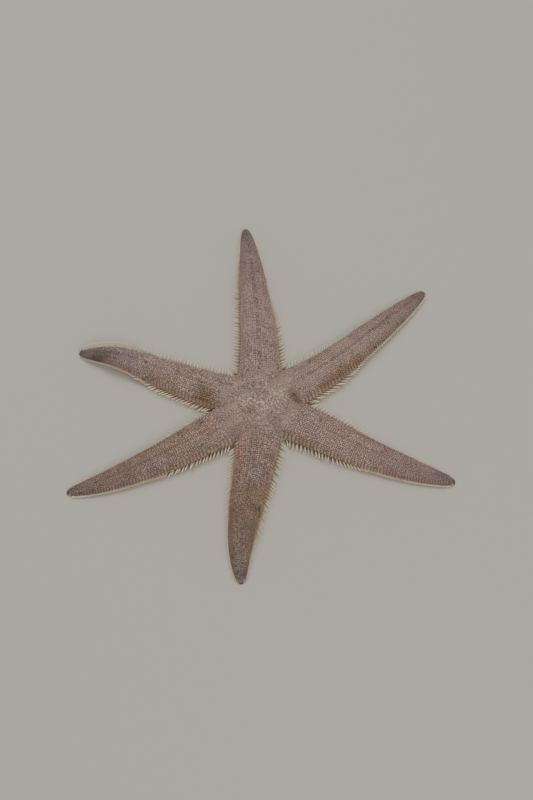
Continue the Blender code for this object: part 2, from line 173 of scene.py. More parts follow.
class Arm:
    """One arm as a formula. Its places are told by side (1 left, -1 right), reach along the midline
    from the mouth, and how far across and up, or how far along the back's arc from midline to edge."""

    def __init__(self, index):
        facts = ARMS[index]
        headings = facts["headings"]
        self.index = index
        self.name = f"arm_{index + 1}"
        self.length = facts["length"] - TIP_CLEARANCE
        self.girth = ARM_WIDTH / 2 * facts["girth"]
        self.lift = facts.get("lift", 0.0)
        self.roll = math.radians(facts.get("roll", 0.0))
        self.base_turn = math.radians(headings[0])
        self.steps = np.linspace(0.0, self.length, MIDLINE_STEPS)
        self.turns = np.radians(np.interp(self.steps / self.length, HEADING_SHARES, headings))
        between = (self.turns[1:] + self.turns[:-1]) / 2
        pace = self.length / (MIDLINE_STEPS - 1)
        self.path_x = DISC_CENTRE[0] + np.append(0.0, np.cumsum(np.cos(between) * pace))
        self.path_y = DISC_CENTRE[1] + np.append(0.0, np.cumsum(np.sin(between) * pace))
        left = math.radians((ARMS[index - 1]["headings"][0] - headings[0]) % 360) / 2
        right = math.radians((headings[0] - ARMS[(index + 1) % 6]["headings"][0]) % 360) / 2
        self.half_angle = {1: left, -1: right}
        self.notch = {1: NOTCHES[index - 1], -1: NOTCHES[index]}

    def notch_reach(self, side):
        """How far along the midline the notch on that side lies."""
        return self.notch[side] * math.cos(self.half_angle[side])

    def outward(self, reach):
        """0 up to the shoulder and 1 at the tip."""
        return ramp(reach, SHOULDER, self.length)

    def half_width(self, side, reach):
        """(girth + flare to the notch) * (1 - outward^1.2)^0.45; the flare dies away as exp(-past / 5)."""
        notch_width = self.notch[side] * math.sin(self.half_angle[side])
        past = np.maximum(reach - self.notch_reach(side), 0.0)
        flare = (notch_width - self.girth) * np.exp(-past / FLARE_FADE)
        return (self.girth + flare) * (1.0 - self.outward(reach) ** WIDTH_POWERS[0]) ** WIDTH_POWERS[1]

    def height(self, reach):
        """The back's height on the midline: (1 - outward^1.5)^0.45 of the disc's."""
        return ARM_HEIGHT * (1.0 - self.outward(reach) ** HEIGHT_POWERS[0]) ** HEIGHT_POWERS[1]

    def rim(self, side, reach):
        """Half width of the skin: the arm's own, less the depth of the coat past the notch."""
        width = self.half_width(side, reach)
        notch = self.notch_reach(side)
        depth = np.minimum(SKIN_DEPTH, SKIN_DEPTH_SHARE * width)
        return width - depth * ramp(reach, notch, notch + SKIN_DEPTH_FADE)

    def crown(self, reach):
        """Height of the skin on the midline: the back's, less the depth of the coat."""
        height = self.height(reach)
        return height - SKIN_DEPTH * ramp(height, 0.0, SKIN_DEPTH_HEIGHT)

    def edge_height(self, reach):
        """Height of the skin's edge, where the back meets the flank."""
        return self.crown(reach) * EDGE_SHARE

    def foot_height(self, reach):
        """Height of the skin's flat underside."""
        return np.minimum(UNDER_CLEARANCE, self.edge_height(reach) / 2)

    def place(self, reach, across, up):
        """World points of places in the sections. Past 58% of the length the lifted arm rises by a
        sine hump and rolls about its left foot."""
        reach, across, up = np.broadcast_arrays(reach, across, up)
        x = np.interp(reach, self.steps, self.path_x)
        y = np.interp(reach, self.steps, self.path_y)
        turn = np.interp(reach, self.steps, self.turns)
        share = ramp(reach / self.length, CURL_START, 1.0)
        lift = self.lift * np.sin(np.pi * share) ** CURL_LIFT_POWER
        roll = self.roll * (3.0 * share ** 2 - 2.0 * share ** 3)
        pivot = self.half_width(1, reach) * (1.0 - UNDER_INSET_SHARE)
        from_pivot = pivot - across
        across = pivot - from_pivot * np.cos(roll) + up * np.sin(roll)
        up = from_pivot * np.sin(roll) + up * np.cos(roll) + lift
        return np.stack([x - across * np.sin(turn), y + across * np.cos(turn), up], axis=-1)

    def back(self, side, reach, arc):
        """World points of the skin's back, arc running from 0 on the midline to 1 at the edge: the
        section's place, the disc's hump exp(-(distance / 11)^2), swells, a midline crease and folds."""
        share = np.interp(arc, SECTION_ARC, SECTION_SHARE)
        rise = np.interp(arc, SECTION_ARC, SECTION_RISE)
        height = self.crown(reach)
        across = share * self.rim(side, reach)
        points = self.place(reach, side * across, height * (EDGE_SHARE + (1.0 - EDGE_SHARE) * rise))
        from_mouth = np.hypot(points[..., 0] - DISC_CENTRE[0], points[..., 1] - DISC_CENTRE[1])
        hump = DISC_RISE * np.exp(-(from_mouth / DISC_RISE_RADIUS) ** 2)
        crease = CREASE_DEPTH * np.exp(-(across / CREASE_HALF_WIDTH) ** 2) * ramp(reach, *CREASE_BEGINS)
        on_top = ramp(rise, 0.0, TOP_SHARE) * ramp(height, 0.0, TOP_HEIGHT)
        folds = sunk(points) * ramp(rise, 0.0, FOLD_TOP_SHARE)
        points[..., 2] += hump + (swells(points) - crease) * on_top - folds
        return points

    def groove(self, side, reach):
        """Half width and depth of the groove below."""
        width = np.minimum(GROOVE_HALF_WIDTH, GROOVE_WIDTH_SHARE * self.half_width(side, reach))
        return width, np.minimum(GROOVE_DEPTH, GROOVE_HEIGHT_SHARE * self.height(reach))


def linear(red, green, blue):
    """A linear colour from the three 0 to 255 values that a screen shows."""
    value = np.array((red, green, blue)) / 255.0
    return np.where(value <= 0.04045, value / 12.92, ((value + 0.055) / 1.055) ** 2.4)


def toward(colours, other, weight):
    """Rows of colours moved toward another colour by a weight of 0 to 1."""
    return colours + (other - colours) * np.asarray(weight)[..., None]


ARM_TONE = linear(156, 131, 119)
DISC_TONE = linear(155, 130, 117)
TIP_TONE = linear(98, 82, 78)
# A paler tone for the lower flanks, partly their own colour and partly painted fill light.
PALE_FLANK_AND_FILL_LIGHT_TONE = linear(188, 161, 137)
UNDER_TONE = linear(205, 186, 160)
RIM_TONE = linear(196, 175, 148)
MIDLINE_TONE = linear(92, 70, 66)
# Painted shade for the folds.
FOLD_PAINTED_SHADE_TONE = linear(92, 68, 50)
OCHRE_TONE = linear(116, 86, 26)
RUST_TONE = linear(164, 112, 84)
BROWN_TONE = linear(122, 91, 60)
MAUVE_TONE = linear(142, 121, 121)
CREAM_TONE = linear(202, 178, 152)
DARK_TONE = linear(84, 62, 48)
ARM_SHADES = ((1.03, 1.01, 1.01), (1.00, 0.97, 0.93), (0.96, 0.92, 0.89),
              (0.81, 0.76, 0.63), (0.80, 0.74, 0.62), (1.11, 1.11, 1.08))
MIDLINE_STRENGTHS = (0.70, 0.65, 0.35, 0.30, 0.45, 0.45)
MIDLINE_HALF_WIDTH = 0.6 * MM
LINE_PITCH = 2.7 * MM
LINE_STRENGTH = 0.25
# Patches in which the midline and the lines beside it show: how many times finer they are than the
# slow wander, and at which of its values they begin and are full.
MIDLINE_PATCHES = (2.3, (0.05, 0.45))
LINE_PATCHES = (1.7, (0.2, 0.7))
# Where a marking begins and where it is full, as a reach from the mouth, as a share of the arm or, for
# a band, along the arc from the midline.
ARM_BEGINS = (9.0 * MM, 26.0 * MM)
OWN_SHADE_BEGINS = (14.0 * MM, 50.0 * MM)
# The band of paler lower flanks, partly painted fill light, and its strength.
FLANK_BAND = (0.70, 0.95)
PALE_FLANK_AND_FILL_LIGHT_STRENGTH = 0.6
OUTER_HALF = (0.38, 0.70)
OUTER_HALF_STRENGTH = 0.36
LAST_FIFTH = (0.80, 0.99)
LAST_FIFTH_STRENGTH = 0.47
RIM_BAND = (0.91, 0.98)
RIM_BEGINS = (0.3, 0.6)
RIM_STRENGTH = 0.8
RAISED_RIM_BAND = (0.46, 0.54)
RAISED_RIM_BEGINS = (0.52, 0.68)
RAISED_RIM_STRENGTH = 0.9
# Painted shade in the folds: full at this depth, and at most this strong.
FULL_FOLD = 1.5 * MM
FOLD_PAINTED_SHADE_STRENGTH = 0.8
PATCH_SHADES = (0.9, 1.1)
# The stains of the back: tone, strength, place, size and turn.
STAINS = (
    (OCHRE_TONE, 0.92, (18.6, -26.9), (8.0, 1.4), -28.0),
    (RUST_TONE, 0.40, (-9.2, -34.0), (9.0, 1.8), -95.0),
    (BROWN_TONE, 0.56, (-6.6, -63.0), (24.0, 8.0), -99.0),
    (MAUVE_TONE, 0.60, (-2.0, -44.0), (6.0, 5.0), -95.0),
    (RUST_TONE, 0.28, (-24.8, -20.5), (9.0, 4.5), 34.0),
    (RUST_TONE, 0.25, (-53.0, -34.0), (14.0, 3.5), 28.0),
    (MAUVE_TONE, 0.40, (-49.3, -41.0), (14.0, 3.0), 26.0),
    (BROWN_TONE, 0.85, (-26.6, -2.2), (6.0, 4.6), -22.0),
    (OCHRE_TONE, 0.40, (-27.0, -5.6), (8.0, 1.5), -20.0),
    (BROWN_TONE, 0.50, (-48.0, 6.5), (11.0, 5.0), -20.0),
    (BROWN_TONE, 0.35, (-36.0, 12.5), (9.0, 2.5), -20.0),
    (MAUVE_TONE, 0.55, (-67.0, 17.0), (9.0, 4.5), -14.0),
    (DARK_TONE, 0.95, (-79.5, 18.6), (9.0, 3.0), 6.0),
    (BROWN_TONE, 0.70, (38.0, 11.0), (22.0, 2.4), 42.0),
    (BROWN_TONE, 0.45, (27.0, 19.5), (8.0, 2.2), 33.0),
    (MAUVE_TONE, 0.42, (6.0, -16.6), (6.0, 3.2), -20.0),
    (MAUVE_TONE, 0.50, (-5.0, 1.6), (4.5, 2.6), 30.0),
    (CREAM_TONE, 0.38, (9.6, -2.2), (5.0, 3.2), 60.0),
    (CREAM_TONE, 0.20, (-5.0, -8.6), (7.5, 4.5), 10.0),
    (BROWN_TONE, 0.40, (52.0, -27.0), (13.0, 2.2), -26.0),
    (BROWN_TONE, 0.50, (-3.5, -25.5), (2.6, 5.0), 0.0),
    (BROWN_TONE, 0.55, (-5.4, -12.6), (3.2, 2.2), 15.0),
)


def wander(points):
    """A slow patchy number from 0 to 1 over the floor plan: two bent sine waves added."""
    x = points[..., 0] / MM
    y = points[..., 1] / MM
    along_x = np.sin(0.52 * x + 1.7 * np.sin(0.31 * y))
    along_y = np.sin(0.61 * y + 1.9 * np.sin(0.27 * x))
    return 0.5 + 0.25 * (along_x + along_y)


def patches_of(points, fineness, limits):
    """1 in the patches of a wander made finer by a factor, and 0 between them."""
    return ramp(wander(fineness * points), *limits)


def markings(arm, side, reach, arc, points):
    """The star's colours: pinkish grey arms, each of its own shade and darker toward the tip, on a
    disc of a warmer tone, with stains, a broken dark midline and faint lines beside it, paler lower
    flanks near the disc, partly their own tone and partly painted fill light, a pale rim further out,
    and painted shade in the folds."""
    on_arm = ramp(reach, *ARM_BEGINS)
    near_tip = arm.outward(reach)
    colours = toward(np.broadcast_to(DISC_TONE, points.shape), ARM_TONE, on_arm)
    own_shade = np.array(ARM_SHADES[arm.index])
    colours = colours * toward(np.ones_like(points), own_shade, ramp(reach, *OWN_SHADE_BEGINS))
    for tone, strength, place, size, turn in STAINS:
        colours = toward(colours, tone, strength * blot(points, place, size, turn))
    across = np.interp(arc, SECTION_ARC, SECTION_SHARE) * arm.half_width(side, reach)
    streak = np.exp(-(across / MIDLINE_HALF_WIDTH) ** 2) * patches_of(points, *MIDLINE_PATCHES) * on_arm
    colours = toward(colours, MIDLINE_TONE, MIDLINE_STRENGTHS[arm.index] * streak)
    lines = (0.5 + 0.5 * np.cos(2.0 * math.pi * across / LINE_PITCH)) ** 2
    lines = lines * patches_of(points, *LINE_PATCHES)
    colours = colours * (1.0 - LINE_STRENGTH * lines * on_arm * (1.0 - near_tip))[..., None]
    # Paler lower flanks near the disc: partly their own tone and partly painted fill light, so that they
    # show no darker than the back.
    colours = toward(colours, PALE_FLANK_AND_FILL_LIGHT_TONE, PALE_FLANK_AND_FILL_LIGHT_STRENGTH * ramp(arc, *FLANK_BAND) * (1.0 - near_tip) ** 2)
    darkening = OUTER_HALF_STRENGTH * ramp(near_tip, *OUTER_HALF)
    darkening = darkening + LAST_FIFTH_STRENGTH * ramp(near_tip, *LAST_FIFTH)
    colours = toward(colours, TIP_TONE, darkening)
    colours = toward(colours, RIM_TONE, RIM_STRENGTH * ramp(arc, *RIM_BAND) * ramp(near_tip, *RIM_BEGINS))
    if arm.roll and side < 0:
        raised_rim = ramp(arc, *RAISED_RIM_BAND) * ramp(near_tip, *RAISED_RIM_BEGINS)
        colours = toward(colours, RIM_TONE, RAISED_RIM_STRENGTH * raised_rim)
    # Painted shade in the folds, darker where they sink deeper.
    colours = toward(colours, FOLD_PAINTED_SHADE_TONE, np.clip(sunk(points) / FULL_FOLD, 0.0, FOLD_PAINTED_SHADE_STRENGTH))
    dark, light = PATCH_SHADES
    return colours * (dark + (light - dark) * wander(points))[..., None]


BACK_COLUMNS = 16
FLANK_DROPS = (0.3, 0.6, 0.85, 1.0)
FLOOR_SHARES = (0.25, 0.5, 0.75, 1.0)
GROOVE_PROFILE = ((0.85, 0.45), (0.55, 0.80), (0.25, 0.97), (0.0, 1.0))
NOTCH_ROWS = 26
STUB_ROWS = 9
STUB_REACH = 25.0 * MM
MIDLINE_AT_NOTCH = 20.0 * MM
ROW_PITCH = 0.8 * MM
TIP_CROWDING = 1.25
PIT_RADIUS = 4.4 * MM
PIT_SLOPE = 0.8 * MM
PIT_TOP = 2.4 * MM
GROOVE_FOOT_SHARE = 0.5
GROOVE_BEGINS = 0.6
# The skin has the markings' colours times these shades, arm by arm and on the lower flanks: painted
# shade, so that it shows dark between the paxillae, made lighter on the lower flanks as painted fill
# light.
UNDERCOAT_PAINTED_SHADES = (0.46, 0.70, 0.58, 0.46, 0.56, 0.50)
FLANK_UNDERCOAT_PAINTED_SHADE = 0.85
FLANK_UNDERCOAT_BAND = (0.55, 0.85)


def skin_half(arm, side):
    """One half of an arm from the mouth to the tip, as rows of points and colours. Rows start on the
    midline; up to the notch they end on the line shared with the next arm, and past it they go on
    down the flank. All of them come back under the arm to the middle of its groove."""
    notch = arm.notch_reach(side)
    inner = np.linspace(0.0, 1.0, NOTCH_ROWS + 1)
    stub = np.linspace(0.0, 1.0, STUB_ROWS + 1)[1:]
    free_length = arm.length - STUB_REACH
    left_over = np.linspace(1.0, 0.0, round(free_length / ROW_PITCH))[1:]
    free = arm.length - free_length * left_over ** TIP_CROWDING
    mid_reach = np.concatenate([MIDLINE_AT_NOTCH * inner,
                                MIDLINE_AT_NOTCH + (STUB_REACH - MIDLINE_AT_NOTCH) * stub, free])
    side_reach = np.concatenate([notch * inner, notch + (STUB_REACH - notch) * stub, free])
    inner = np.concatenate([inner, np.ones(len(stub) + len(free))])
    outer = np.concatenate([np.zeros(NOTCH_ROWS + 1), stub, np.ones(len(free))])
    on_line = side_reach * math.tan(arm.half_angle[side])

    columns = np.linspace(0.0, 1.0, BACK_COLUMNS + 1)
    spread = columns + (np.interp(columns, SECTION_ARC, SECTION_SHARE) - columns) * inner[:, None] ** 3
    reach = mid_reach[:, None] + (side_reach - mid_reach)[:, None] * spread
    limit = np.where(inner < 1.0, on_line, arm.half_width(side, side_reach))
    width = np.maximum(arm.half_width(side, reach), SMALLEST)
    arc = np.interp(spread * limit[:, None] / width, SECTION_SHARE, SECTION_ARC)
    back = arm.back(side, reach, arc)
    # Painted shade on the skin between the paxillae, lighter on the lower flanks as painted fill light.
    shade = UNDERCOAT_PAINTED_SHADES[arm.index]
    shade = shade + (FLANK_UNDERCOAT_PAINTED_SHADE - shade) * ramp(arc, *FLANK_UNDERCOAT_BAND)
    tints = markings(arm, side, reach, arc, back) * shade[..., None]

    edge = arm.edge_height(side_reach)
    floor = arm.foot_height(side_reach)
    inset = arm.half_width(side, side_reach) * UNDER_INSET_SHARE * outer
    rim = np.where(inner < 1.0, on_line, arm.rim(side, side_reach))
    foot = rim - inset
    below = [arm.place(side_reach, side * (rim - inset * drop ** 2), edge + (floor - edge) * drop)
             for drop in FLANK_DROPS]
    groove_width, groove_depth = arm.groove(side, side_reach)
    groove_width = np.minimum(groove_width, GROOVE_FOOT_SHARE * foot)
    places = [(foot + (groove_width - foot) * share, floor) for share in FLOOR_SHARES]
    groove_depth = groove_depth * ramp(inner, 0.0, GROOVE_BEGINS)
    places += [(groove_width * share, floor + groove_depth * rise) for share, rise in GROOVE_PROFILE]
    for across, up in places:
        sideways = across / np.maximum(foot, SMALLEST)
        below.append(arm.place(mid_reach + (side_reach - mid_reach) * sideways, side * across, up))
    below = np.stack(below, axis=1)
    from_mouth = np.hypot(below[..., 0] - DISC_CENTRE[0], below[..., 1] - DISC_CENTRE[1])
    pit = 1.0 - ramp(from_mouth, PIT_RADIUS - PIT_SLOPE, PIT_RADIUS)
    below[..., 2] = np.maximum(below[..., 2], UNDER_CLEARANCE + (PIT_TOP - UNDER_CLEARANCE) * pit)
    below_tints = np.broadcast_to(UNDER_TONE, below.shape)
    return np.concatenate([back, below], axis=1), np.concatenate([tints, below_tints], axis=1)


def flat(values, kind=np.float32):
    """An array as one row of numbers of a kind, as a mesh takes them."""
    return np.ascontiguousarray(values, dtype=kind).ravel()


def mesh_object(name, points, faces, colours, patches=None):
    """A mesh from arrays: points, faces as rows of corner numbers, a colour for each point, and, for
    pieces of the coat, a place on the bake map for each point."""
    mesh = bpy.data.meshes.new(name)
    corners = faces.shape[1]
    mesh.vertices.add(len(points))
    mesh.vertices.foreach_set("co", flat(points))
    mesh.loops.add(faces.size)
    mesh.loops.foreach_set("vertex_index", flat(faces, np.int32))
    mesh.polygons.add(len(faces))
    mesh.polygons.foreach_set("loop_start", np.arange(0, faces.size, corners, dtype=np.int32))
    mesh.polygons.foreach_set("use_smooth", np.ones(len(faces), dtype=bool))
    mesh.update(calc_edges=True)
    layer = mesh.color_attributes.new("markings", "FLOAT_COLOR", "POINT")
    solid = np.column_stack([colours, np.ones(len(colours))])
    layer.data.foreach_set("color", flat(solid))
    if patches is not None:
        bake_map = mesh.uv_layers.new(name="OFBake")
        bake_map.data.foreach_set("uv", flat(patches[faces.ravel()]))
    thing = bpy.data.objects.new(name, mesh)
    bpy.context.scene.collection.objects.link(thing)
    return thing


def hide_finish(name, grain, bump, values, roughness, subsurface, wetness):
    """A finish that takes its colour from the piece's own markings, lightened and darkened by grain
    of the given size, with the same grain as fine bumps. values and roughness are (low, high)."""
    material = bpy.data.materials.new(name)
    material.use_nodes = True
    nodes = material.node_tree.nodes
    links = material.node_tree.links
    shader = nodes["Principled BSDF"]
    shader.inputs["Subsurface Weight"].default_value = subsurface
    shader.inputs["Subsurface Radius"].default_value = (1.0, 0.55, 0.35)
    shader.inputs["Subsurface Scale"].default_value = 0.4 * MM
    shader.inputs["Coat Weight"].default_value = wetness
    shader.inputs["Coat Roughness"].default_value = 0.25
    markings_in = nodes.new("ShaderNodeAttribute")
    markings_in.attribute_name = "markings"
    where = nodes.new("ShaderNodeTexCoord")
    noise = nodes.new("ShaderNodeTexNoise")
    noise.inputs["Scale"].default_value = 1.0 / grain
    noise.inputs["Detail"].default_value = 3.0
    links.new(where.outputs["Object"], noise.inputs["Vector"])
    lightness = nodes.new("ShaderNodeMapRange")
    lightness.inputs["From Min"].default_value = 0.3
    lightness.inputs["From Max"].default_value = 0.7
    lightness.inputs["To Min"].default_value, lightness.inputs["To Max"].default_value = values
    links.new(noise.outputs["Fac"], lightness.inputs["Value"])
    tinted = nodes.new("ShaderNodeHueSaturation")
    links.new(markings_in.outputs["Color"], tinted.inputs["Color"])
    links.new(lightness.outputs["Result"], tinted.inputs["Value"])
    links.new(tinted.outputs["Color"], shader.inputs["Base Color"])
    gloss = nodes.new("ShaderNodeMapRange")
    gloss.inputs["To Min"].default_value, gloss.inputs["To Max"].default_value = roughness
    links.new(noise.outputs["Fac"], gloss.inputs["Value"])
    links.new(gloss.outputs["Result"], shader.inputs["Roughness"])
    relief = nodes.new("ShaderNodeBump")
    relief.inputs["Strength"].default_value = 0.6
    relief.inputs["Distance"].default_value = bump
    links.new(noise.outputs["Fac"], relief.inputs["Height"])
    links.new(relief.outputs["Normal"], shader.inputs["Normal"])
    return material


arms = [Arm(index) for index in range(len(ARMS))]
all_points = []
all_tints = []
all_faces = []
first = 0
for arm in arms:
    for side in SIDES:
        grid, tints = skin_half(arm, side)
        rows, columns = grid.shape[:2]
        corner = first + np.arange(rows * columns).reshape(rows, columns)
        quads = np.stack([corner[:-1, :-1], corner[1:, :-1], corner[1:, 1:], corner[:-1, 1:]], axis=-1)
        shown = np.ones((rows - 1, columns - 1), dtype=bool)
        shown[:NOTCH_ROWS, BACK_COLUMNS:BACK_COLUMNS + len(FLANK_DROPS)] = False
        all_faces.append(quads[shown][:, ::side])
        all_points.append(grid.reshape(-1, 3))
        all_tints.append(tints.reshape(-1, 3))
        first += rows * columns
skin = mesh_object("skin", np.concatenate(all_points), np.concatenate(all_faces),
                   np.concatenate(all_tints))
seams = bmesh.new()
seams.from_mesh(skin.data)
bmesh.ops.remove_doubles(seams, verts=seams.verts, dist=SMALLEST)
loose = [vertex for vertex in seams.verts if not vertex.link_faces]
bmesh.ops.delete(seams, geom=loose, context="VERTS")
bmesh.ops.recalc_face_normals(seams, faces=seams.faces)
seams.to_mesh(skin.data)
seams.free()
skin.data.materials.append(hide_finish("hide", grain=0.5 * MM, bump=0.12 * MM, values=(0.75, 1.2),
                                       roughness=(0.6, 0.8), subsurface=0.15, wetness=0.0))
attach(skin, "root")
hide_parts("disc", *(f"arm_{number}_{part}" for number in range(1, 7)
                            for part in ("inner", "middle", "outer")))


# The paxillae. The back is paved with tiny pillars of bone, each crowned with a cluster of blunt
# granules: large square ones in rows along both sides of an arm, round ones between those rows and
# over the disc. They stand in the skin, their crowns just touching, with painted shade in the gaps
# between them and painted light on the crowns' tops.
PAXILLA_PITCH = 1.06 * MM
PAXILLA_PITCH_AT_TIP = 0.76 * MM
PAXILLA_HEIGHT = 0.42 * MM
PAXILLA_SPREAD = 0.515
LATERAL_COLUMNS = 4
LATERAL_PITCH = 1.14 * MM
LATERAL_PITCH_AT_TIP = 0.68 * MM
LATERAL_SPREAD = (0.475, 0.485)
LATERAL_EDGE = 0.45
LATERAL_JITTER = 0.03 * MM
LATERAL_ARC_LIMIT = 0.12
LATERAL_TURN = 0.1
SPINE_PITCH = 1.90 * MM
SPINE_PITCH_AT_TIP = 1.1 * MM
MOST_COLUMNS = 32
LEAST_ROOM = 0.5
JITTER = 0.14
DISC_PITCH = 0.84 * MM
DISC_NET = (32, 37)
DISC_JITTER = 0.15
DISC_SPECKLE = 0.30
DISC_ARC_LIMIT = 0.58
ARM_SPECKLES = (0.08, 0.07, 0.10, 0.14, 0.13, 0.13)
MIXED_REACH = (6.0 * MM, 17.0 * MM)
DARK_SHARE = 0.03
DARK_SHARE_GAIN = 0.11
DARK_SHADE = 0.5
CROWN_SIZES = (0.90, 1.06)
CROWN_SINK = 0.06 * MM
COAT_START = 0.3 * MM
SPINE_START = 0.9 * MM
SPINE_END = 3.1 * MM
TIP_PLATE = 1.7 * MM
COAT_ON_TIP_PLATE = 0.8
PACE = 0.1 * MM
REACH_STEP = 0.05 * MM
ARC_STEP = 0.004
BAKE_MARGIN = 0.02
BAKE_MIDDLE = 0.5
BAKE_SCALE = 1.0 / (115.0 * MM)
BAKE_PATCH = 0.0015
MADREPORITE_RADIUS = 1.5 * MM
MADREPORITE_ROOM = 1.1
MADREPORITE_REACH = 11.0 * MM
MADREPORITE_TURN = math.radians(62.0)
# Heights and painted shades of a crown's lobes and gaps at the rim and on the ring of bumps, the sizes
# of that ring and of the foot beside the rim, and the painted shade of the foot and painted light of
# the top: darker at the foot and in the gaps, lighter on the lobes and the top.
RIM_HEIGHTS = (0.56, 0.42)
RIM_PAINTED_SHADES = (0.92, 0.68)
BUMP_HEIGHTS = (0.95, 0.74)
BUMP_PAINTED_LIGHT_AND_SHADE = (1.10, 0.92)
BUMP_RING_SIZE = 0.66
BUMP_GAP_SHARE = 0.75
FOOT_SIZE = 0.5
FOOT_PAINTED_SHADE = 0.35
TOP_PAINTED_LIGHT = 1.05
coat_draw = np.random.default_rng(11)


def crown_shape(lobes, gap, squareness):
    """A pillar with a crown of granules: a foot ring, the crown's rim, a ring of bumps and a top point,
    closed below. Rim and bumps have by turns a lobe and a gap. The crown's outline is
    (|cos|^p + |sin|^p)^(-1/p), round at p = 2 and square for a larger p."""
    turn = np.arange(2 * lobes) * math.pi / lobes
    on_lobe = np.arange(2 * lobes) % 2 == 0
    cos, sin = np.abs(np.cos(turn)), np.abs(np.sin(turn))
    outline = (cos ** squareness + sin ** squareness) ** (-1.0 / squareness)
    ring = np.column_stack([outline * np.cos(turn), outline * np.sin(turn), 0.0 * turn])
    reach = np.where(on_lobe, 1.0, gap)[:, None]
    rim = ring * reach
    rim[:, 2] = np.where(on_lobe, *RIM_HEIGHTS)
    bumps = ring * BUMP_RING_SIZE * (1.0 - BUMP_GAP_SHARE + BUMP_GAP_SHARE * reach)
    bumps[:, 2] = np.where(on_lobe, *BUMP_HEIGHTS)
    foot = ring[on_lobe] * FOOT_SIZE
    # Painted light and shade: dark at the foot and in the gaps, light on the lobes and the top.
    shades = [np.full(lobes, FOOT_PAINTED_SHADE), np.where(on_lobe, *RIM_PAINTED_SHADES), np.where(on_lobe, *BUMP_PAINTED_LIGHT_AND_SHADE),
              [TOP_PAINTED_LIGHT]]
    here = np.arange(lobes)
    after = (here + 1) % lobes
    tip, dip, next_tip = lobes + 2 * here, lobes + 2 * here + 1, lobes + 2 * after
    bump, low, next_bump = tip + 2 * lobes, dip + 2 * lobes, next_tip + 2 * lobes
    top = 0 * here + 5 * lobes
    corners = [(here, dip, tip), (here, after, dip), (after, next_tip, dip), (tip, dip, bump),
               (dip, low, bump), (dip, next_tip, low), (next_tip, next_bump, low),
               (bump, low, top), (low, next_bump, top)]
    below = np.arange(1, lobes - 1)
    faces = [np.column_stack(three) for three in corners] + [np.column_stack([0 * below, below + 1, below])]
    points = np.concatenate([foot, rim, bumps, [[0.0, 0.0, 1.0]]])
    return points, np.concatenate(faces), np.concatenate(shades)


def scatter(name, shape, roots, axes, sizes, colours, patches, bends=None):
    """Copies of one small shape as one mesh. Each is sized along its own three axes, turned to them,
    set on its root, and bent by its bend times the square of the height along it."""
    template, faces, shades = shape
    points = np.einsum("mk,nk,nkj->nmj", template, sizes, axes) + roots[:, None, :]
    if bends is not None:
        points += (template[:, 2] ** 2)[None, :, None] * bends[:, None, :]
    tints = colours[:, None, :] * shades[None, :, None]
    places = patches[:, None, :] + template[None, :, :2] * BAKE_PATCH
    every = faces[None] + (np.arange(len(roots)) * len(template))[:, None, None]
    return mesh_object(name, points.reshape(-1, 3), every.reshape(-1, faces.shape[1]),
                       tints.reshape(-1, 3), places.reshape(-1, 2))


def unit(vectors):
    """Vectors made one long."""
    return vectors / np.maximum(np.linalg.norm(vectors, axis=-1, keepdims=True), 1e-12)


def skin_axes(arm, side, reach, arc):
    """Roots on the back and three directions at each: along the arm, across it and out of the skin,
    from small steps over the surface."""
    along = arm.back(side, reach + REACH_STEP, arc) - arm.back(side, reach - REACH_STEP, arc)
    down = arm.back(side, reach, np.minimum(arc + ARC_STEP, 1.0)) - arm.back(side, reach, arc - ARC_STEP)
    out = unit(side * np.cross(along, down))
    along = unit(along)
    return arm.back(side, reach, arc), np.stack([along, np.cross(out, along), out], axis=-2)


def spin(axes, turn):
    """Turn the first two directions about the third."""
    cos, sin = np.cos(turn)[:, None], np.sin(turn)[:, None]
    along, across, out = axes[:, 0], axes[:, 1], axes[:, 2]
    return np.stack([along * cos + across * sin, across * cos - along * sin, out], axis=1)


def unwrap(arm, side, reach, arc):
    """A place on the arm's own bake map: along it from left to right, and along the arc from midline
    to edge above the map's middle for the left side and below it for the right."""
    aside = arc * arm.half_width(side, reach) * ARC_PER_HALF_WIDTH
    return np.column_stack([BAKE_MARGIN + reach * BAKE_SCALE, BAKE_MIDDLE + side * aside * BAKE_SCALE])


def pitch_at(arm, reach, base, tip):
    """A spacing that closes up from the base of an arm to its tip."""
    return base + (tip - base) * arm.outward(reach)


def pitched(arm, start, end, base, tip):
    """Distances along an arm from start to end, one spacing apart."""
    paces = np.arange(start, end, PACE)
    counted = np.cumsum(PACE / pitch_at(arm, paces, base, tip))
    return np.interp(np.arange(0.5, counted[-1]), counted, paces)


def lateral_spots(arm, side):
    """Reach, arc and two spacings of the square paxillae on one side of an arm: one row in the notch
    and one for each marginal spine, counted inward from the edge."""
    start = arm.notch_reach(side) + SPINE_START - SPINE_PITCH
    rows = pitched(arm, start, arm.length - SPINE_END, SPINE_PITCH, SPINE_PITCH_AT_TIP)
    reach, column = np.meshgrid(rows, np.arange(LATERAL_COLUMNS), indexing="ij")
    pitch = pitch_at(arm, reach, LATERAL_PITCH, LATERAL_PITCH_AT_TIP)
    arc = 1.0 - (column + LATERAL_EDGE) * pitch / (arm.half_width(side, reach) * ARC_PER_HALF_WIDTH)
    unsettled = LATERAL_JITTER * coat_draw.normal(size=reach.shape)
    kept = arc > LATERAL_ARC_LIMIT
    along = pitch_at(arm, reach, SPINE_PITCH, SPINE_PITCH_AT_TIP)
    return (reach + unsettled)[kept], arc[kept], np.stack([along[kept], pitch[kept]], axis=-1)


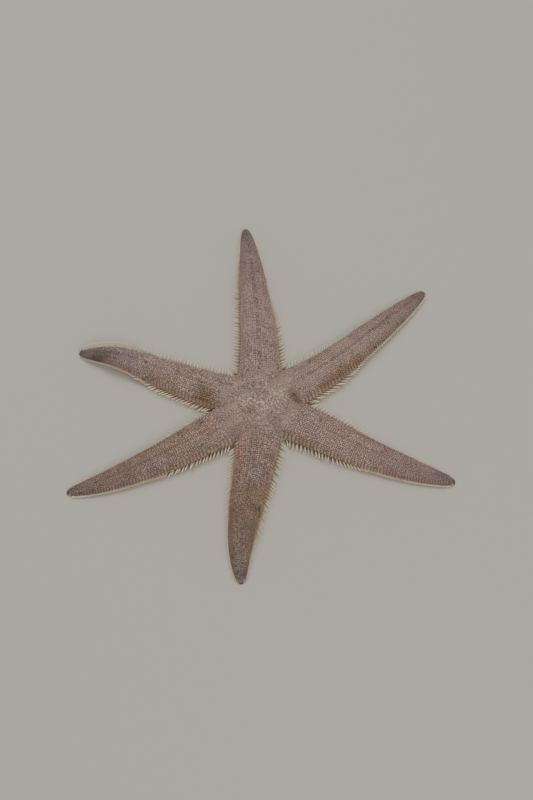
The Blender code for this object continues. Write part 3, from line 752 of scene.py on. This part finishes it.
def middle_spots(arm, side):
    """Reach, arc and spacing of the round paxillae between the midline and the square ones. Rows cross
    the arm a pitch apart, as many columns as fit share out the room evenly, and all are a little
    unsettled."""
    rows = pitched(arm, arm.notch_reach(side) + COAT_START, arm.length - TIP_PLATE * COAT_ON_TIP_PLATE,
                   PAXILLA_PITCH, PAXILLA_PITCH_AT_TIP)
    reach, column = np.meshgrid(rows, np.arange(MOST_COLUMNS), indexing="ij")
    pitch = pitch_at(arm, reach, PAXILLA_PITCH, PAXILLA_PITCH_AT_TIP)
    taken = LATERAL_COLUMNS * pitch_at(arm, reach, LATERAL_PITCH, LATERAL_PITCH_AT_TIP)
    taken = np.where(reach > arm.length - SPINE_END, 0.0, taken)
    arc_length = arm.half_width(side, reach) * ARC_PER_HALF_WIDTH
    room = np.maximum(arc_length - taken, 0.0)
    count = np.maximum(np.round(room / pitch), 1.0)
    unsettled = JITTER * coat_draw.normal(size=(2,) + reach.shape)
    arc = np.maximum((column + 0.5 + unsettled[1]) * room / count / arc_length, 0.0)
    kept = (column < count) & (room > LEAST_ROOM * pitch)
    reach = np.minimum(reach + pitch * unsettled[0], rows[-1])
    return reach[kept], arc[kept], np.stack([pitch[kept], pitch[kept]], axis=-1)


def disc_spots():
    """Places of the disc's paxillae, on a staggered net laid over it and then unsettled."""
    across, up = np.meshgrid(*(np.arange(-most, most + 1) for most in DISC_NET))
    spots = np.column_stack([((across + 0.5 * (up % 2)) * DISC_PITCH).ravel(),
                             (up * DISC_PITCH * math.sqrt(3.0) / 2).ravel()])
    return spots + coat_draw.normal(scale=DISC_JITTER * DISC_PITCH, size=spots.shape)


granule = hide_finish("granules", grain=0.25 * MM, bump=0.05 * MM, values=(0.85, 1.15),
                      roughness=(0.4, 0.65), subsurface=0.1, wetness=0.1)


def paxillae(name, shape, parts, spread, speckle, turned):
    """One piece of the coat. Each paxilla is turned and sized a little differently, and lighter or
    darker by chance, most of all in the middle of the disc, where one in seven is dark."""
    roots, axes, pitch, colours, patches = (np.concatenate(part) for part in zip(*parts))
    count = len(roots)
    mixed = 1.0 - ramp(np.hypot(*(roots[:, :2] - DISC_CENTRE).T), *MIXED_REACH)
    tone = np.exp((speckle + (DISC_SPECKLE - speckle) * mixed) * coat_draw.normal(size=count))
    dark = coat_draw.random(count) < DARK_SHARE + DARK_SHARE_GAIN * mixed
    tone = np.where(dark, tone * DARK_SHADE, tone)
    sizes = pitch * spread * coat_draw.uniform(*CROWN_SIZES, count)[:, None]
    sizes = np.column_stack([sizes, PAXILLA_HEIGHT * pitch[:, 1] / PAXILLA_PITCH])
    axes = spin(axes, coat_draw.uniform(-turned, turned, count))
    colours = colours * tone[:, None]
    piece = scatter(name, shape, roots - axes[:, 2] * CROWN_SINK, axes, sizes, colours, patches)
    piece.data.materials.append(granule)
    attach(piece, "root")


round_crown = crown_shape(lobes=6, gap=0.93, squareness=2.0)
square_crown = crown_shape(lobes=8, gap=0.90, squareness=5.0)
net = disc_spots()
net_turn = np.arctan2(net[:, 1], net[:, 0])
net_reach = np.hypot(net[:, 0], net[:, 1])
madreporite_way = np.array((math.cos(MADREPORITE_TURN), math.sin(MADREPORITE_TURN)))
madreporite_offset = MADREPORITE_REACH * madreporite_way
clear = np.hypot(*(net - madreporite_offset).T) > MADREPORITE_RADIUS * MADREPORITE_ROOM
disc_parts = []
for arm in arms:
    lateral_parts = []
    middle_parts = []
    for side in SIDES:
        for spots, parts in ((lateral_spots, lateral_parts), (middle_spots, middle_parts)):
            reach, arc, pitch = spots(arm, side)
            roots, axes = skin_axes(arm, side, reach, arc)
            parts.append((roots, axes, pitch, markings(arm, side, reach, arc, roots),
                          unwrap(arm, side, reach, arc)))
        gap = side * ((net_turn - arm.base_turn + np.pi) % (2.0 * np.pi) - np.pi)
        reach = net_reach * np.cos(gap)
        share = net_reach * np.sin(gap) / arm.half_width(side, reach)
        arc = np.interp(share, SECTION_SHARE, SECTION_ARC)
        past = reach - arm.notch_reach(side)
        paved = (past > -SPINE_PITCH / 2) & (arc > DISC_ARC_LIMIT)
        inside = (gap >= 0) & (gap < arm.half_angle[side]) & (past < COAT_START) & clear & ~paved
        reach, arc = reach[inside], arc[inside]
        roots, axes = skin_axes(arm, side, reach, arc)
        disc_parts.append((roots, axes, np.full((len(reach), 2), DISC_PITCH),
                           markings(arm, side, reach, arc, roots),
                           BAKE_MIDDLE + net[inside] * BAKE_SCALE))
    paxillae(f"{arm.name}_lateral_paxillae", square_crown, lateral_parts, LATERAL_SPREAD,
             ARM_SPECKLES[arm.index], LATERAL_TURN)
    paxillae(f"{arm.name}_paxillae", round_crown, middle_parts, PAXILLA_SPREAD,
             ARM_SPECKLES[arm.index], math.pi)
paxillae("disc_paxillae", round_crown, disc_parts, PAXILLA_SPREAD, ARM_SPECKLES[0], math.pi)


# The marginal spines. Along both edges of every arm stand flat, pointed spines of pale bone, longest
# near the disc and swept toward the tip, with a shorter rank under them and small bristles at their
# feet. Each is rooted in a plate under the skin.
SPINE_LENGTH = 4.2 * MM
SPINE_ROOT_SINK = 0.9 * MM
SPINE_HALF_WIDTH = 0.37 * MM
SPINE_FLATNESS = 0.75
SPINE_THINNING = 0.3
SPINE_SHORTENING = 0.25
SPINE_SHORTENING_POWER = 1.3
SPINE_LAST_STRETCH = 5.0 * MM
SPINE_JITTER = 0.05 * MM
SPINE_LENGTHS = (0.88, 1.03)
SPINE_LEAN_JITTER = 4.0
SPINE_GIRTHS = (0.88, 1.1)
ROD_SHADES = (0.86, 1.06)
TIP_LIMIT_SHARE = 0.85
TIP_LIMIT = 0.1 * MM
# How many degrees the spines lean toward the tip at the foot of each arm, left and right, and how
# many more at its tip.
SPINE_LEANS = ((12, 26), (28, 42), (24, 26), (32, 44), (40, 38), (34, 8))
SPINE_LEAN_GAIN = 24.0
FOLDED_LEAN = 72.0
FOLDED_LENGTH = 0.68
# Where the spines fold, as a share of each arm, on its left and on its right, how far before and past
# that the folding runs, and where those on the raised edge of the curled tip stand up a little again.
SPINE_STANDS = ((0.68, 0.38), (0.34, 0.30), (0.36, 0.36), (0.70, 0.50), (0.42, 0.34), (0.46, 0.54))
FOLDING_BEFORE = 0.10
FOLDING_PAST = 0.12
RAISED_AGAIN = (0.50, 0.62)
RAISED_SHARE = 0.3
SPINE_BEND = 0.06
SPINE_TONE = linear(209, 189, 156)
# Rings of a rod: height, girth and shade.
SPINE_RINGS = ((0.0, 1.0, 0.40), (0.25, 1.0, 0.60), (0.55, 0.94, 0.95), (0.88, 0.60, 1.08))
BRISTLE_RINGS = ((0.0, 1.0, 0.7), (0.55, 0.8, 1.0))
POINT_SHADE = 1.05


def around(sides):
    """Evenly spaced angles of one turn."""
    return np.arange(sides) * 2.0 * math.pi / sides


def pointed_rod(sides, rings):
    """A tapered rod of rings, closed below and ending in a point at height 1."""
    turn = around(sides)
    points = [np.column_stack([girth * np.cos(turn), girth * np.sin(turn), np.full(sides, up)])
              for up, girth, _ in rings]
    shades = [np.full(sides, shade) for _, _, shade in rings]
    here = np.arange(sides)
    after = (here + 1) % sides
    faces = []
    for ring in range(len(rings) - 1):
        low, high = ring * sides, (ring + 1) * sides
        faces.append(np.column_stack([low + here, low + after, high + after]))
        faces.append(np.column_stack([low + here, high + after, high + here]))
    last = (len(rings) - 1) * sides
    faces.append(np.column_stack([last + here, last + after, np.full(sides, last + sides)]))
    fan = np.arange(1, sides - 1)
    faces.append(np.column_stack([0 * fan, fan + 1, fan]))
    points.append([[0.0, 0.0, 1.0]])
    shades.append([POINT_SHADE])
    return np.concatenate(points), np.concatenate(faces), np.concatenate(shades)


def rod_axes(roots, tips):
    """Directions of rods from root to tip (level and square to the rod, upright, and along it), and
    the rods' lengths."""
    along = tips - roots
    length = np.linalg.norm(along, axis=1)
    along = along / length[:, None]
    level = unit(np.column_stack([-along[:, 1], along[:, 0], np.zeros(len(along))]))
    return np.stack([level, np.cross(along, level), along], axis=1), length


def spine_lines(arm, side, reach, shortening, lean_more, tip_up, root_share):
    """Roots and tips of spines along the edge, and their half width. Up to a share of the arm they
    stand out, leaning toward the tip, and past it they lie folded along the edge at 72 degrees.
    Beside a notch they follow the line between the two arms."""
    outward = arm.outward(reach)
    stand = SPINE_STANDS[arm.index][side < 0]
    folded = ramp(outward, stand - FOLDING_BEFORE, stand + FOLDING_PAST)
    if arm.roll and side < 0:
        folded = folded * (1.0 - RAISED_SHARE * ramp(outward, *RAISED_AGAIN))
    lean = SPINE_LEANS[arm.index][side < 0] + SPINE_LEAN_GAIN * outward + lean_more
    lean = lean + (FOLDED_LEAN - lean) * folded
    past = reach - arm.notch_reach(side)
    notch_lean = (math.pi / 2 - arm.half_angle[side]) * np.exp(-past / FLARE_FADE)
    lean = np.maximum(np.radians(lean), notch_lean)
    length = SPINE_LENGTH * (1.0 - SPINE_SHORTENING * outward ** SPINE_SHORTENING_POWER) * shortening
    length = length * (1.0 + (FOLDED_LENGTH - 1.0) * folded)
    length = length * ramp(arm.length - reach, 0.0, SPINE_LAST_STRETCH)
    thinning = 1.0 - SPINE_THINNING * outward
    sink = SPINE_ROOT_SINK * thinning
    start = arm.half_width(side, reach) - sink
    whole = length + sink
    roots = arm.place(reach, side * start, arm.height(reach) * EDGE_SHARE * root_share)
    tips = arm.place(reach + whole * np.sin(lean), side * (start + whole * np.cos(lean)), tip_up)
    tips[:, 2] = np.maximum(tips[:, 2], tip_up)
    return roots, tips, SPINE_HALF_WIDTH * thinning


bone = hide_finish("spine_bone", grain=0.4 * MM, bump=0.03 * MM, values=(0.88, 1.1),
                   roughness=(0.35, 0.55), subsurface=0.25, wetness=0.15)
spine_shape = pointed_rod(6, SPINE_RINGS)
bristle_shape = pointed_rod(5, BRISTLE_RINGS)
# The ranks of spines. The offset is a share of their spacing, length and girth are shares of the first
# rank's, tip_up is how high the tips may stand, and the lean is added in degrees. The shade of the lower
# rank and of the bristles is painted shade, darker under and between the upper spines.
RANKS = (
    {"name": "spines", "shape": spine_shape, "offset": 0.0, "length": 1.0, "girth": 1.0,
     "tip_up": 2.0 * MM, "root_share": 0.84, "lean": 0.0, "shade": 1.0},
    {"name": "lower_spines", "shape": spine_shape, "offset": 0.0, "length": 0.84, "girth": 0.9,
     "tip_up": 0.3 * MM, "root_share": 0.40, "lean": 2.0, "shade": 0.72},
    {"name": "edge_bristles", "shape": bristle_shape, "offset": 0.28, "length": 0.17, "girth": 0.45,
     "tip_up": 1.6 * MM, "root_share": 0.98, "lean": 8.0, "shade": 0.5},
    {"name": "flank_bristles", "shape": bristle_shape, "offset": 0.72, "length": 0.20, "girth": 0.45,
     "tip_up": 1.1 * MM, "root_share": 0.90, "lean": 14.0, "shade": 0.5},
)
spine_draw = np.random.default_rng(6)
for arm in arms:
    for rank in RANKS:
        parts = []
        for side in SIDES:
            reach = pitched(arm, arm.notch_reach(side) + SPINE_START, arm.length - SPINE_END,
                            SPINE_PITCH, SPINE_PITCH_AT_TIP)
            count = len(reach)
            reach = reach + rank["offset"] * SPINE_PITCH + spine_draw.normal(scale=SPINE_JITTER, size=count)
            reach = np.minimum(reach, arm.length - SPINE_END)
            highest = TIP_LIMIT_SHARE * arm.edge_height(reach) + TIP_LIMIT
            roots, tips, girth = spine_lines(
                arm, side, reach, rank["length"] * spine_draw.uniform(*SPINE_LENGTHS, count),
                rank["lean"] + spine_draw.normal(scale=SPINE_LEAN_JITTER, size=count),
                np.minimum(rank["tip_up"], highest), rank["root_share"])
            axes, length = rod_axes(roots, tips)
            girth = girth * rank["girth"] * spine_draw.uniform(*SPINE_GIRTHS, count)
            sizes = np.column_stack([girth, girth * SPINE_FLATNESS, length])
            # Painted shade darkens the lower rank and the bristles.
            tones = SPINE_TONE * rank["shade"] * spine_draw.uniform(*ROD_SHADES, count)[:, None]
            parts.append((roots, axes, sizes, tones, unwrap(arm, side, reach, np.ones(count)),
                          axes[:, 1] * (SPINE_BEND * length)[:, None]))
        piece = scatter(f"{arm.name}_{rank['name']}", rank["shape"],
                        *(np.concatenate(part) for part in zip(*parts)))
        piece.data.materials.append(bone)
        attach(piece, "root")


# The underside. A row of crosswise plates lies on either side of each groove, set with short points.
# Comblike furrow spines lean over the groove, and two rows of soft, pointed tube feet hang in it.
UNDER_PLATE_SHARE = 0.42
UNDER_PLATE_THICKNESS = 0.14 * MM
UNDER_PLATE_TONE = linear(196, 172, 140)
UNDER_START = PIT_RADIUS + 1.0 * MM
PLATE_FROM_GROOVE = 0.15 * MM
PLATE_FROM_EDGE = 0.1 * MM
UNDER_JITTER = 0.12 * MM
UNDER_POINT_LENGTH = 0.95 * MM
UNDER_POINT_GIRTH = 0.16 * MM
UNDER_POINT_END = 0.05 * MM
POINTS_PER_PLATE = 5
FURROW_SPINE_LENGTH = 1.25 * MM
FURROW_SPINE_OFFSETS = (-0.22, 0.22)
TUBE_FOOT_PITCH = 1.5 * MM
TUBE_FOOT_END = 6.0 * MM
TUBE_FOOT_PLACE = 0.42
TUBE_FOOT_SWAY = 0.3 * MM
TUBE_FOOT_LEAN = 0.2 * MM
TUBE_FOOT_GIRTH = 0.42 * MM
TUBE_FOOT_TONE = linear(222, 200, 170)
TUBE_FOOT_RINGS = ((0.0, 1.0, 0.85), (0.35, 0.85, 0.95), (0.62, 0.62, 1.0),
                   (0.78, 0.66, 1.05), (0.93, 0.35, 1.08))
UNDER_PLATE_RINGS = ((0.0, 0.6, 0.8), (0.08, 1.0, 1.0), (0.92, 1.0, 1.0))
soft_foot = hide_finish("tube_foot", grain=0.3 * MM, bump=0.02 * MM, values=(0.9, 1.1),
                        roughness=(0.3, 0.5), subsurface=0.45, wetness=0.2)
under_draw = np.random.default_rng(23)


def under_rods(arm, side, reach, starts, ends, wide, thick, tone):
    """Rods of the underside from their start and end places, each (along, across, up)."""
    roots = arm.place(starts[0], side * starts[1], starts[2])
    axes, length = rod_axes(roots, arm.place(ends[0], side * ends[1], ends[2]))
    sizes = np.column_stack([wide + 0.0 * reach, thick + 0.0 * reach, length])
    tones = tone * under_draw.uniform(*ROD_SHADES, len(reach))[:, None]
    spots = unwrap(arm, side, reach, starts[1] / np.maximum(arm.half_width(side, reach), SMALLEST))
    return roots, axes, sizes, tones, spots


def under_piece(name, shape, parts, material):
    """One piece of the underside from its parts, such as those on both sides of an arm."""
    piece = scatter(name, shape, *(np.concatenate(part) for part in zip(*parts)))
    piece.data.materials.append(material)
    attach(piece, "root")


for arm in arms:
    plates, points, combs, feet = [], [], [], []
    for side in SIDES:
        notch = arm.notch_reach(side)
        reach = pitched(arm, UNDER_START, arm.length - SPINE_END, SPINE_PITCH, SPINE_PITCH_AT_TIP)
        pitch = pitch_at(arm, reach, SPINE_PITCH, SPINE_PITCH_AT_TIP)
        on_line = reach * math.tan(arm.half_angle[side])
        groove, _ = arm.groove(side, reach)
        groove = np.minimum(groove, GROOVE_FOOT_SHARE * on_line)
        small = groove / GROOVE_HALF_WIDTH
        inset = arm.half_width(side, reach) * UNDER_INSET_SHARE * ramp(reach, notch, STUB_REACH)
        foot = np.minimum(arm.rim(side, reach) - inset, on_line - PLATE_FROM_EDGE)
        low = arm.foot_height(reach)
        plates.append(under_rods(
            arm, side, reach, (reach, groove + PLATE_FROM_GROOVE, low), (reach, foot - PLATE_FROM_EDGE, low),
            pitch * UNDER_PLATE_SHARE, UNDER_PLATE_THICKNESS, UNDER_PLATE_TONE))
        for number in range(POINTS_PER_PLATE):
            share = (number + 0.6) / POINTS_PER_PLATE
            across = groove + (foot - groove) * share
            along = reach + under_draw.normal(scale=UNDER_JITTER, size=len(reach))
            length = UNDER_POINT_LENGTH * (0.55 + 0.45 * share) * (0.5 + 0.5 * small)
            girth = UNDER_POINT_GIRTH * (0.6 + 0.4 * small)
            points.append(under_rods(
                arm, side, reach, (along, across, low + UNDER_POINT_END),
                (along + 0.5 * length, across + 0.85 * length, UNDER_POINT_END + 0.0 * reach),
                girth, girth, SPINE_TONE))
        for offset in FURROW_SPINE_OFFSETS:
            along = reach + offset * pitch
            length = FURROW_SPINE_LENGTH * small
            girth = UNDER_POINT_GIRTH * small
            combs.append(under_rods(
                arm, side, reach, (along, groove + 0.05 * MM, low + 0.12 * MM),
                (along + 0.3 * length, groove - 0.9 * length, 0.5 * low), girth, girth, SPINE_TONE))
        along = np.arange(UNDER_START, arm.length - TUBE_FOOT_END, TUBE_FOOT_PITCH)
        along = along + under_draw.normal(scale=UNDER_JITTER, size=len(along))
        groove, depth = arm.groove(side, along)
        small = groove / GROOVE_HALF_WIDTH
        low = arm.foot_height(along)
        sway = under_draw.normal(scale=TUBE_FOOT_SWAY, size=(2, len(along)))
        across = TUBE_FOOT_PLACE * groove
        girth = TUBE_FOOT_GIRTH * small
        feet.append(under_rods(
            arm, side, along, (along, across, low + 0.9 * depth),
            (along + sway[0] + TUBE_FOOT_LEAN, across + 0.5 * sway[1] * small, 0.6 * low),
            girth, girth, TUBE_FOOT_TONE))
    under_piece(f"{arm.name}_under_plates", pointed_rod(6, UNDER_PLATE_RINGS), plates, bone)
    under_piece(f"{arm.name}_under_points", bristle_shape, points, bone)
    under_piece(f"{arm.name}_furrow_spines", bristle_shape, combs, bone)
    under_piece(f"{arm.name}_tube_feet", pointed_rod(8, TUBE_FOOT_RINGS), feet, soft_foot)


# The mouth. A puckered membrane closes the pit in the middle of the underside, and six wedges of
# bone, one between each two arms, point in at it like jaws, with a fan of spines on each.
MEMBRANE_MIDDLE = 3.2 * MM
MEMBRANE_EDGE = 2.1 * MM
MEMBRANE_THICKNESS = 0.4 * MM
MEMBRANE_RADII = np.array((0.25, 0.5, 0.9, 1.5, 2.2, 3.0, 3.8, 4.5)) * MM
MEMBRANE_HOLE = 0.9 * MM
MEMBRANE_PUCKERS = 18
PUCKER_DEPTH = 0.12 * MM
PUCKER_REACH = 1.2 * MM
MEMBRANE_TONE = linear(190, 150, 122)
# Painted shade of the mouth's drawn-up middle.
MOUTH_PAINTED_SHADE = linear(60, 38, 30)
JAW_ENDS = (4.6 * MM, 1.5 * MM)
JAW_HALF_TURN = math.radians(19.0)
JAW_LOW = 0.35 * MM
JAW_HIGH = 2.3 * MM
JAW_LOW_RISE = 0.5 * MM
JAW_HIGH_RISE = 0.35 * MM
JAW_END_HALF = 0.12 * MM
JAW_SQUARENESS = 0.7
JAW_SEAM = 0.15 * MM
JAW_SPINES = 9
JAW_SPINE_LENGTH = 1.3 * MM
JAW_SPINE_GIRTH = (0.20 * MM, 0.17 * MM)
JAW_SPINE_FIRST = 0.25 * MM
JAW_SPINE_STRETCH = 1.9 * MM
JAW_SPINE_SPREAD = 0.9
JAW_SPINE_UP = 0.75 * MM


def swollen(value, power):
    """A cosine or sine raised to a power with its sign kept, which squares up a ring."""
    return np.sign(value) * np.abs(value) ** power


def closed_grid(rings, tones):
    """A closed surface from rows of points round it, each end drawn in to its middle: its points, its
    faces and its colours."""
    rows, sides = rings.shape[:2]
    points = np.concatenate([rings.reshape(-1, 3), rings[:1].mean(axis=1), rings[-1:].mean(axis=1)])
    colours = np.concatenate([tones.reshape(-1, 3), tones[:1].mean(axis=1), tones[-1:].mean(axis=1)])
    corner = np.arange(rows * sides).reshape(rows, sides)
    after = np.roll(corner, -1, axis=1)
    faces = [np.stack([corner[:-1], after[:-1], after[1:]], axis=-1).reshape(-1, 3),
             np.stack([corner[:-1], after[1:], corner[1:]], axis=-1).reshape(-1, 3),
             np.column_stack([after[0], corner[0], np.full(sides, rows * sides)]),
             np.column_stack([corner[-1], after[-1], np.full(sides, rows * sides + 1)])]
    return points, np.concatenate(faces), colours


def solid_piece(name, parts, material, slot, *replaced):
    """One object from several closed surfaces, with its finish and the nodes it stands for."""
    starts = np.cumsum([0] + [len(part[0]) for part in parts[:-1]])
    thing = mesh_object(name, np.concatenate([part[0] for part in parts]),
                        np.concatenate([part[1] + start for part, start in zip(parts, starts)]),
                        np.concatenate([part[2] for part in parts]))
    shell = bmesh.new()
    shell.from_mesh(thing.data)
    bmesh.ops.recalc_face_normals(shell, faces=shell.faces)
    shell.to_mesh(thing.data)
    shell.free()
    thing.data.materials.append(material)
    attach(thing, "root")
    if replaced:
        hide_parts(*replaced)


def disc_point(turn, reach, across, up):
    """World points at a reach and a step to the left along a direction from the mouth."""
    x = DISC_CENTRE[0] + reach * np.cos(turn) - across * np.sin(turn)
    y = DISC_CENTRE[1] + reach * np.sin(turn) + across * np.cos(turn)
    return np.stack(np.broadcast_arrays(x, y, up), axis=-1)


r, t = np.meshgrid(MEMBRANE_RADII, around(72), indexing="ij")
drawn_up = np.exp(-(r / MEMBRANE_HOLE) ** 2)
pucker = PUCKER_DEPTH * np.cos(MEMBRANE_PUCKERS * t) * np.exp(-((r - PUCKER_REACH) / PUCKER_REACH) ** 2)
low_face = disc_point(t, r, 0.0, MEMBRANE_EDGE + (MEMBRANE_MIDDLE - MEMBRANE_EDGE) * drawn_up + pucker)
high_face = low_face[::-1] + np.array((0.0, 0.0, MEMBRANE_THICKNESS))
# The membrane darkens toward its drawn-up middle with painted shade.
low_tones = toward(np.broadcast_to(MEMBRANE_TONE, low_face.shape), MOUTH_PAINTED_SHADE, drawn_up)
solid_piece("mouth_membrane", [closed_grid(np.concatenate([low_face, high_face]),
                                           np.concatenate([low_tones, low_tones[::-1]]))], soft_foot, "skin")

jaws = []
jaw_spines = []
for arm in arms:
    jaw_turn = arm.base_turn - arm.half_angle[-1]
    share = np.linspace(0.0, 1.0, 9)[:, None]
    reach = JAW_ENDS[0] + (JAW_ENDS[1] - JAW_ENDS[0]) * share
    turn = around(16)
    half = reach * math.tan(JAW_HALF_TURN) * (1.0 - share ** 6) ** 0.5 + JAW_END_HALF
    sideways = swollen(np.cos(turn), JAW_SQUARENESS)
    upward = swollen(np.sin(turn), JAW_SQUARENESS)
    seam = JAW_SEAM * np.exp(-(np.cos(turn) / 0.25) ** 2) * (np.sin(turn) < 0)
    low = JAW_LOW + JAW_LOW_RISE * share ** 2
    high = JAW_HIGH + JAW_HIGH_RISE * share
    up = (high + low) / 2 + (high - low) / 2 * upward + seam
    rings = disc_point(jaw_turn, reach, half * sideways, up)
    jaws.append(closed_grid(rings, np.broadcast_to(UNDER_PLATE_TONE, rings.shape)))
    fan = np.linspace(-1.0, 1.0, JAW_SPINES)
    reach = JAW_ENDS[1] + JAW_SPINE_FIRST + JAW_SPINE_STRETCH * np.abs(fan)
    aside = fan * reach * math.tan(JAW_HALF_TURN) * JAW_SPINE_SPREAD
    roots = disc_point(jaw_turn, reach, aside, JAW_SPINE_UP)
    aims = disc_point(jaw_turn, 0.35 * np.abs(fan) - 1.0, 0.9 * fan, -0.35) - np.append(DISC_CENTRE, 0.0)
    axes, length = rod_axes(roots, roots + unit(aims) * JAW_SPINE_LENGTH)
    sizes = np.column_stack([np.tile(JAW_SPINE_GIRTH, (JAW_SPINES, 1)), length])
    jaw_spines.append((roots, axes, sizes, np.broadcast_to(SPINE_TONE, (JAW_SPINES, 3)),
                       BAKE_MIDDLE + (roots[:, :2] - DISC_CENTRE) * BAKE_SCALE))
solid_piece("mouth_jaws", jaws, bone, "plate", "mouth")
under_piece("mouth_spines", spine_shape, jaw_spines, bone)


# The madreporite. A small domed sieve plate set in the disc between the first two arms, its top cut
# by winding furrows that run out from its middle.
MADREPORITE_TOP = 8.5 * MM
MADREPORITE_FURROWS = 15
MADREPORITE_RIDGE = 0.09 * MM
MADREPORITE_TONE = linear(160, 134, 120)
MADREPORITE_RADII = np.array((0.93, 0.96, 0.96, 0.94, 0.90, 0.84, 0.75, 0.64, 0.52, 0.40, 0.29, 0.19, 0.10))
MADREPORITE_DROPS = MM * np.array(
    (1.0, 0.35, 0.3, 0.2, 0.13, 0.08, 0.045, 0.02, 0.0, -0.01, -0.015, -0.02, -0.02))
FURROW_BEGINS = (0.1 * MM, 0.5 * MM)
FURROW_LOWEST = 0.3 * MM
# Painted shade in the furrows.
FURROW_PAINTED_SHADE = 0.4
sieve = hide_finish("sieve_plate", grain=0.2 * MM, bump=0.02 * MM, values=(0.9, 1.1),
                    roughness=(0.5, 0.7), subsurface=0.1, wetness=0.0)
r, t = np.meshgrid(MADREPORITE_RADII * MADREPORITE_RADIUS, around(120), indexing="ij")
ridges = np.sin(MADREPORITE_FURROWS * t + 1.4 * np.sin(3.0 * t + 2.2 * r / MM)) * ramp(r, *FURROW_BEGINS)
ridges = ridges * (MADREPORITE_DROPS < FURROW_LOWEST)[:, None]
up = MADREPORITE_TOP - MADREPORITE_DROPS[:, None] + MADREPORITE_RIDGE * (ridges - 1.0)
rings = disc_point(t, r, 0.0, up)
rings[..., :2] += madreporite_offset
# The furrows are darkened with painted shade.
tones = toward(np.broadcast_to(MADREPORITE_TONE, rings.shape), MADREPORITE_TONE * FURROW_PAINTED_SHADE,
               0.5 - 0.5 * ridges)
solid_piece("sieve_plate", [closed_grid(rings, tones)], sieve, "plate", "madreporite")


# The tip plates. Each arm ends in a small smooth cap of bone with a furrow down it, and at the cap's
# lower end sits the arm's dark red eyespot.
CAP_TONE = linear(80, 64, 58)
CAP_OVERLAP = 0.2 * MM
CAP_GAP = 0.05 * MM
CAP_SQUARENESS = 0.85
CAP_FURROW = 0.10
CAP_FURROW_WIDTH = 0.22
CAP_WIDTH_SHARE = 0.98
CAP_LOWEST = 0.03 * MM
CAP_RIM_STRENGTH = 0.6
EYE_TONE = linear(120, 34, 26)
EYE_RADIUS = 0.28 * MM
EYE_PLACE = (0.45 * MM, 0.42 * MM)
eye_finish = hide_finish("eyespot", grain=0.2 * MM, bump=0.01 * MM, values=(0.9, 1.1),
                         roughness=(0.25, 0.35), subsurface=0.3, wetness=0.3)
for arm in arms:
    share = np.linspace(0.0, 1.0, 13)[:, None]
    reach = arm.length - (TIP_PLATE + CAP_OVERLAP) * (1.0 - share ** 0.8) - CAP_GAP * share
    turn = around(32)
    half = (arm.half_width(1, reach) + arm.half_width(-1, reach)) / 2
    sideways = swollen(np.cos(turn), CAP_SQUARENESS)
    upward = swollen(np.sin(turn), CAP_SQUARENESS)
    furrow = CAP_FURROW * np.exp(-(np.cos(turn) / CAP_FURROW_WIDTH) ** 2) * (np.sin(turn) > 0)
    up = np.maximum(arm.height(reach) * (0.52 + (0.47 - furrow) * upward), CAP_LOWEST)
    rings = arm.place(reach, CAP_WIDTH_SHARE * half * sideways, up)
    tones = toward(np.broadcast_to(CAP_TONE, rings.shape), RIM_TONE,
                   CAP_RIM_STRENGTH * ramp(np.abs(np.cos(turn)), 0.6, 1.0) * (1.0 - ramp(share, 0.3, 0.9)))
    solid_piece(f"{arm.name}_tip_plate", [closed_grid(rings, tones)], granule, "plate", f"{arm.name}_tip")
    level = np.linspace(-1.0, 1.0, 9)[1:-1, None]
    girth = EYE_RADIUS * np.sqrt(1.0 - level ** 2)
    turn = around(16)
    rings = arm.place(arm.length - EYE_PLACE[0] + girth * np.cos(turn), girth * np.sin(turn),
                      EYE_PLACE[1] + EYE_RADIUS * level)
    solid_piece(f"{arm.name}_eyespot", [closed_grid(rings, np.broadcast_to(EYE_TONE, rings.shape))],
                eye_finish, "skin")


# The floor and the light. A plain pale floor under the star, one broad soft light high behind it and
# a weaker one beside the camera.
FLOOR_SIZE = 4.0
FLOOR_TONE = linear(168, 161, 147)
ground = bpy.data.materials.new("pale_floor")
ground.use_nodes = True
ground_shader = ground.node_tree.nodes["Principled BSDF"]
ground_shader.inputs["Base Color"].default_value = (*FLOOR_TONE, 1.0)
ground_shader.inputs["Roughness"].default_value = 0.85
edge = FLOOR_SIZE / 2
floor_mesh = bpy.data.meshes.new("floor")
floor_mesh.from_pydata([(-edge, -edge, 0.0), (edge, -edge, 0.0), (edge, edge, 0.0), (-edge, edge, 0.0)], [],
                       [(0, 1, 2, 3)])
floor_mesh.materials.append(ground)
floor = bpy.data.objects.new("floor", floor_mesh)
bpy.context.scene.collection.objects.link(floor)


def soft_light(name, place, size, power):
    """A square light that faces the star."""
    lamp = bpy.data.lights.new(name, "AREA")
    lamp.size = size
    lamp.energy = power
    holder = bpy.data.objects.new(name, lamp)
    holder.location = place
    x, y, z = place
    holder.rotation_euler = (math.atan2(math.hypot(x, y), z), 0.0, math.atan2(x, -y))
    bpy.context.scene.collection.objects.link(holder)


soft_light("broad_light", place=(-0.35, 0.75, 1.4), size=0.8, power=14.2)
soft_light("near_light", place=(0.5, -1.1, 1.2), size=0.8, power=13.4)
world = bpy.data.worlds.new("studio")
world.use_nodes = True
world.node_tree.nodes["Background"].inputs["Color"].default_value = (0.9, 0.94, 1.0, 1.0)
world.node_tree.nodes["Background"].inputs["Strength"].default_value = 0.6
bpy.context.scene.world = world
